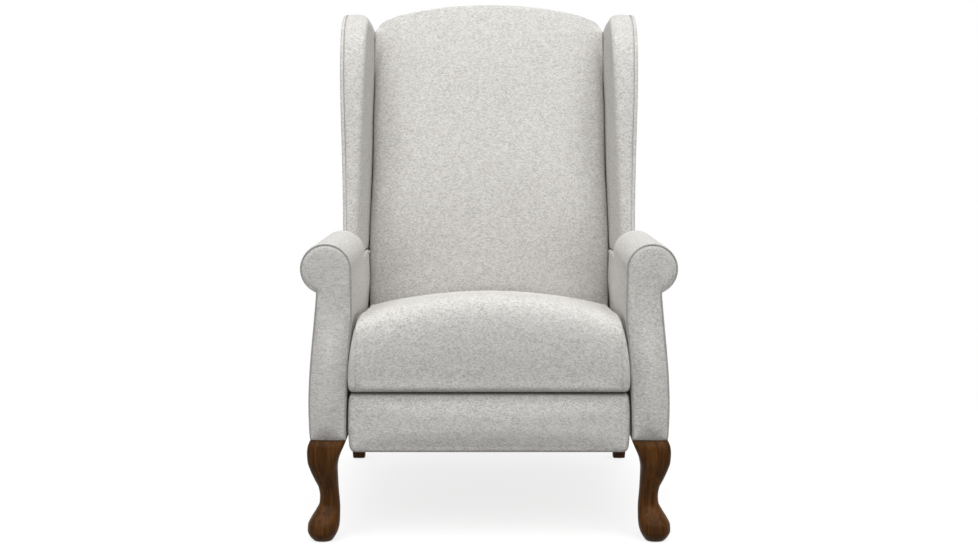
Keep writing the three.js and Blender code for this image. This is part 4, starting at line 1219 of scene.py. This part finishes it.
def seatCushionPiece(name):
    fine = curveThrough(cushion["outline"], 900, True)
    run = runOf(cushionRing(0, fine))
    at = np.linspace(0, run[-1], cushion["outlinePoints"], endpoint=False)
    outline = fine[np.interp(at, run, np.arange(900)).astype(int)]
    cornerX, seam = cushion["cornerX"], cushion["seamX"]
    side = np.sin(np.linspace(0.16, math.pi / 2 * 0.93, 12)) * (cushion["halfX"] - cornerX)
    sewn = np.r_[seam + np.arange(-3.6, 3.7, 0.9), seam - 8.2 + np.arange(-1.6, 1.7, 0.8)]
    half = np.unique(np.r_[np.linspace(0, cornerX, cushion["columns"] // 2), cornerX + side, sewn])
    rings = [cushionRing(x, outline) for x in [*-half[:0:-1], *half]]
    piece = tube(name, rings, turned=True)
    x, y, z = ((valuesOf(piece, "co") - (0, frontPlane, 0)) / mm).T
    rear, besideSeam = cushion["freeRearY"] - y, seam - np.abs(x)
    free = easeIn(*cushion["freeZs"], z) * easeIn(0, 30, rear) * easeIn(0, 22, besideSeam)
    free = free * np.where((y > cushion["wrapY"]) & (z < cushion["heldZ"]), 0, 1)
    sink(piece, free, cushion["tuck"])
    x, y, z = ((valuesOf(piece, "co") - (0, frontPlane, 0)) / mm).T
    aside = np.abs(x) - seam
    grooves = [deep * np.exp(-(((aside - at) / wide) ** 2)) for at, wide, deep in cushion["seamLines"]]
    shown = np.where((z > cushion["seamLowZ"]) & (y < cushion["seamRearY"]), 1, 0)
    sink(piece, sum(grooves) * shown, 1)
    return finer(piece)


railFacing = {
    "gap": 0.2,
    "thickness": 1.2,
    "lowInset": 2,
    "sideInset": 0.5,
    # how it turns over the rail's top: to the rear, and up
    "turn": [(0, -3), (1, -1), (3, 0), (22, 0)],
}


# the cloth that faces the front rail and turns back over its top
def railFacingPiece(name):
    low, high = ((np.array(p) - (0, frontPlane, 0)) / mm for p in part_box("seat_front_rail"))
    aside, gap = railFacing["sideInset"], railFacing["gap"]
    xs = np.linspace(low[0] + aside, high[0] - aside, 40)
    front, top = low[1] - gap, high[2] + gap
    turn = [(front + y, top + z) for y, z in railFacing["turn"]]
    line = curveThrough([(front, low[2] + railFacing["lowInset"]), *turn], 30)
    outer = insetLine(line, -railFacing["thickness"], closed=False)
    return slab(name, sheetOf(outer, xs), sheetOf(line, xs), turned=True)


upholster(railFacingPiece("railFacing"), "seat")
seatCushion = upholster(seatCushionPiece("seatCushion"), "seat", "seat_cushion")
print("seat cushion made")

# ---- back cushion

backPad = {
    "halfX": 281,
    "arch": 39,
    "archPower": 2.1,
    "archFrom": 0.6,
    "cornerDrop": 12,
    "cornerFrom": 0.93,
    "rearY": 22,
    "wrapZ": 744,
    "rearFall": 24,
    "sideRound": 46,
    "crown": 9,
    "frameY": -31.6,
    "rows": 86,
    "columns": 61,
    "tuck": 3.0,
    "swell": 9,
    # share of the height, then how far the face stands in front of the hinge
    "face": [
        (0.046, -0.062), (0.1, -0.07), (0.17, -0.088), (0.24, -0.116), (0.31, -0.134),
        (0.39, -0.14), (0.5, -0.134), (0.6, -0.124), (0.7, -0.111), (0.8, -0.095), (0.88, -0.079),
        (0.935, -0.066), (0.965, -0.056), (0.985, -0.047), (0.996, -0.039), (1, -0.033),
    ],
    # share of the height, then half the width there
    "half": [
        (0, 287.4), (0.2, 288), (0.3, 288), (0.4, 285.4),
        (0.5, 282.4), (0.67, 282.9), (0.8, 281.4), (1, 281.4),
    ],
    # share of the half width, share of the side rounding taken off the face
    "across": [
        (0, -1), (0.25, -0.9), (0.45, -0.72), (0.6, -0.46), (0.68, -0.25), (0.76, -0.02),
        (0.83, 0.14), (0.89, 0.31), (0.94, 0.5), (0.975, 0.72), (1, 1),
    ],
}


# how far the side of the back cushion falls behind its face
def sideRounding(share):
    return backPad["sideRound"] * (0.5 + 0.5 * easeIn(0.2, 0.36, share))


def backGrids():
    tall, rearY = chair["backHeight"], backPad["rearY"]
    face = curveThrough(backPad["face"], 400)
    run, number = runOf(face * tall), np.arange(len(face))
    at = np.interp(np.linspace(0, run[-1], backPad["rows"]), run, number)
    share, faceY = (np.interp(at, number, column) for column in face.T)
    a = gathered(backPad["columns"], 0.35)
    pull = follow(backPad["across"], np.abs(a))
    pull = np.where(pull < 0, pull * backPad["crown"], pull * sideRounding(share)[:, None])
    arched = np.maximum(0, (share - backPad["archFrom"]) / (1 - backPad["archFrom"]))
    x = a * follow(backPad["half"], share)[:, None]
    drop = backPad["arch"] * np.abs(a) ** backPad["archPower"]
    drop = drop + backPad["cornerDrop"] * easeIn(backPad["cornerFrom"], 1.02, np.abs(a))
    z = share[:, None] * tall - drop * arched[:, None]
    y = np.minimum(faceY[:, None] * tall + pull, rearY - chair["seam"])
    rearZ = z - backPad["rearFall"] * share[:, None]
    behind = np.where(rearZ >= backPad["wrapZ"], rearY, backPad["frameY"])
    y = np.where(behind < 0, np.minimum(y, behind - 1.5), y)
    return np.dstack([x, y, z]), np.dstack([x, behind, rearZ])


def backCushionPiece(name):
    outer, inner = backGrids()
    piece = slab(name, leaned(outer), leaned(inner))
    rows, cols = outer.shape[:2]
    share = np.linspace(0, 1, rows)[:, None] * np.ones(cols)
    across = np.abs(outer[..., 0]) / backPad["halfX"]
    free = easeIn(0.0, 0.12, share) * easeIn(0.0, 0.05, 0.99 - share) * easeIn(0, 0.3, 0.99 - across)
    # the top corners stay as they are drawn
    free = free * (1 - easeIn(0.6, 0.85, across) * easeIn(0.75, 0.92, share))
    free = np.concatenate([free.ravel(), np.zeros(rows * cols)])
    inflate(piece, free, backPad["tuck"], backPad["swell"])
    return finer(piece)


backCushion = upholster(backCushionPiece("backCushion"), "back", "back_cushion")
print("back cushion filled")

# ---- wings

wing = {
    "outerX": 338,
    "topRound": 12,
    "topFrom": 0.9,
    "topShare": 0.952,
    "toeRound": 10,
    "toeShare": 0.03,
    "toeReach": 70,
    "rearY": 17.7,
    "footLift": 223.5,
    "footShare": 0.28011,
    "levelShare": 0.5,
    "tail": 1,  # slope of the outside panels' foot down to the rear corner
    "tailHeight": 80,
    "panelX": 338.3,
    "panelOuterX": 346,
    "panelInset": 1,
    "panelRound": 3.5,
    "panelRearY": 30,
    "weltRadius": 1.3,
    "weltInset": 2.2,
    "tip": [(0.97, 0.9), (0.9, 1.8), (0.75, 2.4)],  # how far the top closes, and rises
    # share of the height, then how far forward the nose reaches
    "nose": [
        (0, -0.255), (0.31, -0.266), (0.4, -0.272), (0.5, -0.278), (0.6, -0.281),
        (0.7, -0.277), (0.77, -0.266), (0.82, -0.249), (0.86, -0.225), (0.895, -0.194),
        (0.922, -0.156), (0.94, -0.122), (0.952, -0.09),
    ],
    # share of the height, how far the outside leans out there, where the crease lies, and how
    # broadly the wing turns into it
    "form": [
        (0, -8, 288.5, 24), (0.3, -8, 288.5, 24), (0.4, -6.5, 285.8, 21), (0.55, -2.5, 283.2, 16),
        (0.67, 1.5, 283.5, 13), (0.8, 4.5, 282, 12), (0.9, 6.5, 282, 12), (0.952, 7, 282, 12),
    ],
    # the turn into the crease: share of its breadth, share of the depth, millimetres
    "turn": [
        (1, 0, 7), (0.68, 0, 19), (0.45, 0.4, 0), (0.25, 0.7, 0), (0.1, 0.9, 0), (0, 1, 0),
    ],
}


def flare(z):
    leans = [row[:2] for row in wing["form"]]
    return follow(leans, np.ravel(z) / chair["backHeight"]).reshape(np.shape(z))


# near its foot a wing is cut level with the floor, so a ring there is tilted by the lean
def levelled(share, y, tail=0):
    lean = math.radians(chair["backLean"])
    foot = wing["footLift"] / math.cos(lean)
    z = share * chair["backHeight"]
    full = wing["levelShare"] * chair["backHeight"]
    blend = np.maximum(0, 1 - (z - foot) / (full - foot))
    drop = tail * np.maximum(0, y) * np.maximum(0, 1 - (z - foot) / wing["tailHeight"])
    return z + y * math.tan(lean) * blend - drop


def wingRing(share):
    tall, rearY = chair["backHeight"], wing["rearY"]
    noseY = follow(wing["nose"], share)[0] * tall
    deep = follow(backPad["face"], share)[0] * tall + sideRounding(share) - noseY
    lean, inner, turnIn = follow(wing["form"], share)[0]
    outer = wing["outerX"] + lean
    soft = [(outer, noseY + 5), (outer - 1.5, noseY + 1.5), (outer - 7, noseY)]
    soft.append((inner + turnIn + 12, noseY + 1.5))
    soft += [(inner + turnIn * a, noseY + deep * b + c) for a, b, c in wing["turn"]]
    outside = evenly([(outer, rearY), soft[0]], 14)[:-1]
    inside = evenly([soft[-1], (inner, rearY)], 8)[1:]
    rear = evenly([(inner, rearY), (outer, rearY)], 8)
    ring = np.vstack([rear[4:-1], outside, curveThrough(soft, 48), inside, rear[1:4]])
    # its top and its toe draw in towards the middle
    toMiddle = ((outer + inner) / 2 - ring[:, 0]) / 8
    within = np.clip(toMiddle, 0, 1)
    fromTop = max(0.0, (share - wing["topFrom"]) / (wing["topShare"] - wing["topFrom"]))
    shrink = wing["topRound"] * fromTop**2
    toe = wing["toeRound"] * max(0.0, 1 - (share - wing["footShare"]) / wing["toeShare"]) ** 2
    near = toe * np.clip(1 - (ring[:, 1] - noseY) / wing["toeReach"], 0.25, 1)
    x = ring[:, 0] + (within + 0.2 * np.clip(toMiddle, -1, 0)) * shrink + near * within
    y = ring[:, 1] + 0.5 * near
    return np.stack([x, y, levelled(share, y)], 1)


def wingShares(count, topCount):
    foot, top, rise = wing["footShare"], wing["topFrom"], wing["topShare"] - wing["topFrom"]
    ease = np.sin(np.linspace(0.06, math.pi / 2, topCount))
    return np.r_[np.linspace(foot, top, count), top + rise * ease]


def wingPiece(name, side):
    rings = [wingRing(s) for s in wingShares(60, 16)]
    top, middle = rings[-1], rings[-1].mean(0)
    for draw, lift in wing["tip"]:
        rings.append(middle + (top - middle) * (draw, draw, 1) + (0, 0, lift))
    return tube(name, leaned(np.array(rings) * (side, 1, 1)))


def noseLine(inset):
    shares = wingShares(60, 20)
    y = follow(wing["nose"], shares) * chair["backHeight"] + inset
    return np.stack([y, levelled(shares, y)], 1)


def wingPanelPiece(name, side):
    front = evenly(noseLine(wing["panelInset"]), 90)
    foot, rearY = wing["footShare"], wing["panelRearY"]
    top = wing["topShare"] * chair["backHeight"]
    rear = evenly([(rearY, levelled(foot, rearY, wing["tail"])), (rearY, top)], 90)
    share = np.r_[0, 0.004, 0.012, 0.024, np.linspace(0.05, 0.95, 24), 0.976, 0.988, 0.996, 1]
    yz = front[:, None] + (rear - front)[:, None] * share[None, :, None]
    sag = levelled(foot, yz[0, :, 0], wing["tail"]) - yz[0, :, 1]
    yz[..., 1] += sag * np.maximum(0, 1 - (yz[..., 1] - yz[:1, :, 1]) / wing["tailHeight"])
    rims = (front[:, None], rear[:, None], yz[-1:], yz[:1])
    edge = np.min([np.linalg.norm(yz - rim, axis=2) for rim in rims], axis=0)
    lean = flare(yz[..., 1])
    x = wing["panelOuterX"] + lean - roundedDrop(wing["panelRound"], edge)
    outer, inner = (np.dstack([side * out, yz]) for out in (x, wing["panelX"] + lean))
    return slab(name, leaned(outer), leaned(inner))


for sideName, side in sides.items():
    pad = wingPiece("wing_pad_" + sideName, side)
    upholster(pad, "back", "wing_" + sideName)
    panel = wingPanelPiece("wing_outside_" + sideName, side)
    upholster(panel, "back", "outside_wing_" + sideName)
    y, z = evenly(noseLine(wing["weltInset"]), 140).T
    path = leaned(np.stack([side * (wing["outerX"] + flare(z) + 0.15), y, z], 1))
    welt = cords("wingWelt_" + sideName, [path], wing["weltRadius"], "welt")
    dress(welt, "welt", "fabric", "back")
print("wings covered")

# ---- outside back and base panels

outsideBack = {
    "y": 18,
    "thickness": 12,
    "halfX": 337.7,
    "inset": 2,
    "shoulderDrop": 16,
    "topDrop": 8,
    "round": 5,
    "crown": 3,
    "columns": 72,
    "rows": 60,
    "skirtDrop": 59,
    "skirtBottomZ": 36,
    "skirtCrown": 1.5,
    "crownReach": 60,
    "skirtCrownReach": 50,
    "weltRadius": 2.3,
    "weltInset": 4.5,  # from the panel's rear
    "weltDrop": 1.6,  # from its top
}
panelFoot = float(levelled(wing["footShare"], outsideBack["y"], wing["tail"]))
panelRear = outsideBack["y"] + outsideBack["thickness"]


def backTopLine(x):
    tall, half = chair["backHeight"], backPad["halfX"]
    cornerZ = wing["topShare"] * tall - outsideBack["topDrop"]
    shoulder = (half, tall - backPad["arch"] - outsideBack["shoulderDrop"])
    crest = (0.6 * half, tall - outsideBack["topDrop"] + outsideBack["inset"])
    ends = [shoulder, crest, (-crest[0], crest[1]), (-half, shoulder[1])]
    bx, bz = bezier(ends, np.linspace(0, 1, 200)).T
    x = np.abs(x)
    slope = np.interp(x, [half, outsideBack["halfX"]], [shoulder[1], cornerZ])
    return np.where(x < half, np.interp(x, bx[::-1], bz[::-1]), slope)


def outsideBackPiece(name):
    half = outsideBack["halfX"]
    xs = gathered(outsideBack["columns"], 0.3) * half
    tops = backTopLine(xs)
    share = np.linspace(0, 1, outsideBack["rows"])
    share = 0.75 * share + 0.25 * np.sin(share * math.pi / 2)
    z = panelFoot + share[:, None] * (tops[None] - panelFoot)
    x = np.broadcast_to(xs, z.shape)
    edge = np.minimum(np.minimum(half - np.abs(x), tops[None] - z), z - panelFoot)
    crown = outsideBack["crown"] * (1 - np.exp(-edge / outsideBack["crownReach"]))
    y = panelRear - roundedDrop(outsideBack["round"], edge) + crown - 1
    # at the top it stops behind the cushion
    padded = (z > backPad["wrapZ"] - 1) & (np.abs(x) < backPad["halfX"] + 4)
    front = np.where(padded, backPad["rearY"] + chair["seam"], outsideBack["y"])
    x = x * (1 + flare(z) / half)
    return slab(name, leaned(np.dstack([x, y, z])), leaned(np.dstack([x, front, z])))


def skirtPiece(name):
    bottom, halfX = outsideBack["skirtBottomZ"], backPad["halfX"]
    rows = np.linspace(0, 1, 34)
    x, z = np.meshgrid(np.linspace(-halfX, halfX, 60), bottom + rows * (panelFoot - bottom))
    y = (panelRear + (1 - rows) * outsideBack["skirtDrop"])[:, None]
    edge = np.minimum(halfX - np.abs(x), z - bottom)
    crown = outsideBack["skirtCrown"] * (1 - np.exp(-edge / outsideBack["skirtCrownReach"]))
    outer = np.dstack([x, y - roundedDrop(outsideBack["round"], edge) + crown - 1, z])
    inner = np.dstack([x, np.broadcast_to(y - outsideBack["thickness"] + 1, x.shape), z])
    return slab(name, leaned(outer), leaned(inner))


upholster(outsideBackPiece("outsideBackPanel"), "back", "outside_back")
upholster(skirtPiece("backSkirt"), "back")
topXs = np.linspace(-outsideBack["halfX"] + 3, outsideBack["halfX"] - 3, 160)
leanTop = 1 + flare(wing["topShare"] * chair["backHeight"]) / outsideBack["halfX"]
weltY, weltZs = panelRear - outsideBack["weltInset"], backTopLine(topXs) - outsideBack["weltDrop"]
topPath = np.stack([topXs * leanTop, topXs * 0 + weltY, weltZs], 1)
sideZs = np.linspace(panelFoot + 4, topPath[0][2] - 4, 40)
sideUp = np.stack([topXs[0] - flare(sideZs), sideZs * 0 + weltY, sideZs], 1)
path = leaned(np.vstack([sideUp, topPath, sideUp[::-1] * (-1, 1, 1)]))
welt = cords("backWelt", [path], outsideBack["weltRadius"], "welt")
dress(welt, "welt", "fabric", "back")

rearCover = {"frontY": 652.3, "rearY": 664, "topZ": 338, "halfX": 317.4, "round": 4}


def rearCoverPiece(name):
    halfX, topZ = rearCover["halfX"], rearCover["topZ"]
    x, z = np.meshgrid(np.linspace(-halfX, halfX, 60), np.linspace(armBottomZ, topZ, 22))
    edge = np.minimum(halfX - np.abs(x), np.minimum(z - armBottomZ, topZ - z))
    y = rearCover["rearY"] - roundedDrop(rearCover["round"], edge)
    front = np.full(x.shape, rearCover["frontY"])
    return slab(name, np.dstack([x, y, z]), np.dstack([x, front, z]))


upholster(rearCoverPiece("rearBaseCover"), "base", "rear_cover")

# a black cloth tacked to the seat's rear rail keeps dust out of the mechanism; it is also painted
# shade: a black sheet that makes the view in under the seat read dark, standing in for the shade there
dustCloth = {
    "halfX": 243,
    "railY": 530.2,
    "thickness": 0.9,
    "topZ": 369,
    "railZ": 334,
    "bottomZ": 238,
    "billow": 2.5,
    "hem": 8,
    "stitch": (4.5, 3.2, 0.7),  # pitch, length, thickness
    "tacks": 15,
    "tackRadius": 3.4,
    "tackHeight": 1.5,
    "tackInset": 8,
}


def dustAndShadeClothPiece(name):
    low, high, thick = dustCloth["bottomZ"], dustCloth["topZ"], dustCloth["thickness"]
    zs = np.linspace(low, high, 34)
    x, z = np.meshgrid(np.linspace(-dustCloth["halfX"], dustCloth["halfX"], 90), zs)
    loose = easeIn(0, 60, dustCloth["railZ"] - z) * dustCloth["billow"]
    y = dustCloth["railY"] + loose * (1.2 + np.sin(x / 37 + z / 90))
    outer = np.dstack([x, y + thick, z])
    at = int(np.argmin(np.abs(zs - low - dustCloth["hem"])))
    return slab(name, outer, np.dstack([x, y, z])), outer[at, 2:-2]


cloth, hemLine = dustAndShadeClothPiece("dustCloth")
dress(cloth, "lining", "fabric", "seat")
hem = stitches("dustClothHem", [hemLine], *dustCloth["stitch"])
dress(hem, "thread", "fabric", "seat")
tackEnd = dustCloth["halfX"] - dustCloth["tackInset"]
tackY, tackZ = dustCloth["railY"] + dustCloth["thickness"], dustCloth["topZ"] - dustCloth["tackInset"]
spots = [(x, tackY, tackZ) for x in np.linspace(-tackEnd, tackEnd, dustCloth["tacks"])]
tackSize = (dustCloth["tackRadius"], dustCloth["tackHeight"])
tacks = heads("dustClothTacks", spots, [(0, 1, 0)] * len(spots), *tackSize, "zinc")
dress(tacks, "zinc", "spring_steel", "seat")
print("outside panels covered")

# ---- legrest

legrest = {
    "halfX": 292.6,
    "lowZ": 192,
    "highZ": 319,
    "round": 11,
    "cornerRadius": 12,
    "crown": 5,
    "crownReach": 45,
    "sideSwell": 4,
    "swell": 3.0,
    "backY": 36,
    "columns": 91,
    "rows": 31,
}


# a rectangular pad with rounded corners, crowned towards its middle
def padGrids(halfX, halfZ, cornerRadius, roundEdge, columns, rows, crown, thick):
    x, z = np.meshgrid(halfX * gathered(columns, 0.2), halfZ * gathered(rows, 0.4))
    edge = np.minimum(halfX - np.abs(x), halfZ - np.abs(z))
    dx = np.maximum(0, np.abs(x) - (halfX - cornerRadius))
    dz = np.maximum(0, np.abs(z) - (halfZ - cornerRadius))
    far = np.hypot(dx, dz)
    keep = np.where(far > 0, np.maximum(dx, dz) / np.maximum(far, 1e-9), 1)
    x = np.sign(x) * (np.abs(x) - dx + dx * keep)
    z = np.sign(z) * (np.abs(z) - dz + dz * keep)
    lift = thick - roundedDrop(roundEdge, edge)
    rise = crown * (1 - (x / halfX) ** 2) * easeIn(0, legrest["crownReach"], edge)
    return x, z, lift + rise, edge


def legrestPiece(name):
    halfX, backY = legrest["halfX"], float(legrest["backY"])
    halfZ = (legrest["highZ"] - legrest["lowZ"]) / 2
    sizes = [legrest[k] for k in ("cornerRadius", "round", "columns", "rows", "crown", "backY")]
    x, z, lift, edge = padGrids(halfX, halfZ, *sizes)
    swell = legrest["sideSwell"] * (1 - (z / halfZ) ** 2) * (np.abs(x) / halfX) ** 6
    x, z = x + np.sign(x) * swell, z + legrest["lowZ"] + halfZ
    outer = np.dstack([x, backY - lift, z])
    piece = slab(name, outer, np.dstack([x, np.full(x.shape, backY), z]))
    free = np.concatenate([easeIn(2, 26, edge).ravel(), np.zeros(edge.size)])
    inflate(piece, free, 0, legrest["swell"])
    return finer(piece)


legrestPad = upholster(legrestPiece("legrestPad"), "legrest", "legrest_pad")

flap = {
    "rootY": 95,
    "rootZ": 296,
    "drive": 195,
    "driveAngle": -160,
    "carrier": 202,
    "carrierAngle": 11.6,
    "halfX": 242,
    "fromShare": 0.04,
    "toShare": 0.74,
    "low": -5.1,
    "thick": 34,
    "cornerRadius": 10,
    "round": 10,
    "columns": 71,
    "rows": 27,
    "crown": 3,
}


def wayOf(angle):
    turn = math.radians(angle)
    return np.array([-math.cos(turn), math.sin(turn)])


def flapPiece(name):
    root = np.array([flap["rootY"], flap["rootZ"]]) + flap["drive"] * wayOf(flap["driveAngle"])
    half = flap["carrier"] * (flap["toShare"] - flap["fromShare"]) / 2
    middle = flap["carrier"] * (flap["toShare"] + flap["fromShare"]) / 2
    sizes = [flap[k] for k in ("cornerRadius", "round", "columns", "rows")]
    x, s, lift, edge = padGrids(flap["halfX"], half, *sizes, 0, flap["thick"])
    lift = lift - flap["crown"] + flap["crown"] * easeIn(0, 40, edge)
    along = wayOf(flap["carrierAngle"])
    up = np.array([along[1], -along[0]])

    def laid(height):
        yz = root + (middle + s)[..., None] * along + (flap["low"] + height)[..., None] * up
        return np.dstack([x, yz])

    return slab(name, laid(lift), laid(np.zeros(x.shape)))


flapPad = upholster(flapPiece("flapPad"), "legrest_carrier", "flap_pad")
print("legrest padded")

# ---- springs and webbing

spring = {
    "wire": 3.6,
    "pitch": 26,
    "halfWidth": 20,
    "count": 5,
    "spread": 400,
    "ties": (0.3, 0.7),
    "tieRadius": 1.0,
    "tieHalfX": 202,
    "railTopZ": 372,
    "frontY": 48,
    "rearY": 530,
    "endInset": 4,  # from the rail to the first and the last bend
    "bends": (0.3, 0.7),  # shares of the pitch where a wire turns
    "wireLift": 2.3,  # over the rails' tops
    "tieLift": 1.3,
}


def zigzagPath(x):
    start, pitch = spring["frontY"] + spring["endInset"], spring["pitch"]
    bends = int((spring["rearY"] - 2 * spring["endInset"] - spring["frontY"]) // pitch)
    z = spring["railTopZ"] + spring["wireLift"]
    points = [(x, start, z)]
    for i in range(bends):
        out = x + (-1 if i % 2 else 1) * spring["halfWidth"]
        points += [(out, start + (i + share) * pitch, z) for share in spring["bends"]]
    return curveThrough([*points, (x, start + bends * pitch, z)], 320)


places = np.linspace(-0.5, 0.5, spring["count"]) * spring["spread"]
zigzags = [zigzagPath(x) for x in places]
ties = []
for share in spring["ties"]:
    y = spring["frontY"] + share * (spring["rearY"] - spring["frontY"]) + 2
    across = np.linspace(-spring["tieHalfX"], spring["tieHalfX"], 60)
    ties.append([(x, y, spring["railTopZ"] + spring["tieLift"]) for x in across])
springs = cords("zigzagSprings", zigzags, spring["wire"] / 2, "wire", step=3.0, corners=8)
dress(springs, "wire", "spring_steel", "seat", "seat_springs")
tieWires = cords("springTieWires", ties, spring["tieRadius"], "wire", step=6.0, corners=8)
dress(tieWires, "wire", "spring_steel", "seat")

webbing = {
    "outerX": 259.8,
    "overlap": 22,
    "bottomZ": 32,
    "topZ": 732,
    "railHeight": 42,
    "width": 50,
    "thickness": 1,
    "y": -28.3,
    "count": 6,
    "uprights": (-0.5, 0, 0.5),
    "weave": 4,  # how often a band goes over and under the others
    "over": 0.5,
    "inFront": 1.2,  # of the frame
}


def strap(name, start, end, across, weave):
    t = np.linspace(0, 1, 80)[:, None, None]
    start, end, across = (np.array(v, float) for v in (start, end, across))
    grid = start + (end - start) * t + across * np.linspace(-0.5, 0.5, 6)[None, :, None]
    over, inFront = webbing["over"], webbing["inFront"]
    grid = grid + (0, -inFront, 0) + np.sin(t * math.pi * weave) * (0, over, 0)
    return slab(name, leaned(grid - (0, webbing["thickness"], 0)), leaned(grid))


def webbingPiece(name):
    halfX, y, width = webbing["outerX"] - webbing["overlap"] / 2, webbing["y"], webbing["width"]
    low = webbing["bottomZ"] + webbing["railHeight"] + width
    high = webbing["topZ"] - webbing["railHeight"] - width
    bands = []
    for i, z in enumerate(np.linspace(low, high, webbing["count"])):
        weave = webbing["weave"] * (1 if i % 2 else -1)
        bands.append(((-halfX, y + 0.1, z), (halfX, y + 0.1, z), (0, 0, width), weave))
    for x in (share * halfX for share in webbing["uprights"]):
        ends = [(x, y + 0.9, z) for z in (webbing["bottomZ"] + 4, webbing["topZ"] - 4)]
        bands.append((*ends, (width, 0, 0), 0))
    whole = bmesh.new()
    for band in bands:
        piece = strap("strap", *band)
        whole.from_mesh(piece.data)
        bpy.data.objects.remove(piece)
    mesh = bpy.data.meshes.new(name)
    whole.to_mesh(mesh)
    whole.free()
    softened(mesh)
    return newObject(name, mesh)


dress(webbingPiece("backWebbing"), "strap", "webbing", "back", "back_webbing")
print("springs and webbing strung")

# ---- finishes of the frame and the steel links

grainOf = {"side_frame": "hardwoodY", "seat_side_rail": "hardwoodY", "back_post": "hardwoodZ"}
steelWords = ("link", "plate", "bracket", "tube", "carrier")
for name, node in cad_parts.items():
    if node.hide_render:
        continue
    stem = name.replace("_left", "").replace("_right", "")
    steel = any(word in stem for word in steelWords)
    finish = "steel" if steel else grainOf.get(stem, "hardwoodX")
    node.data.materials.clear()
    node.data.materials.append(finishes[finish])
print("frame finished")
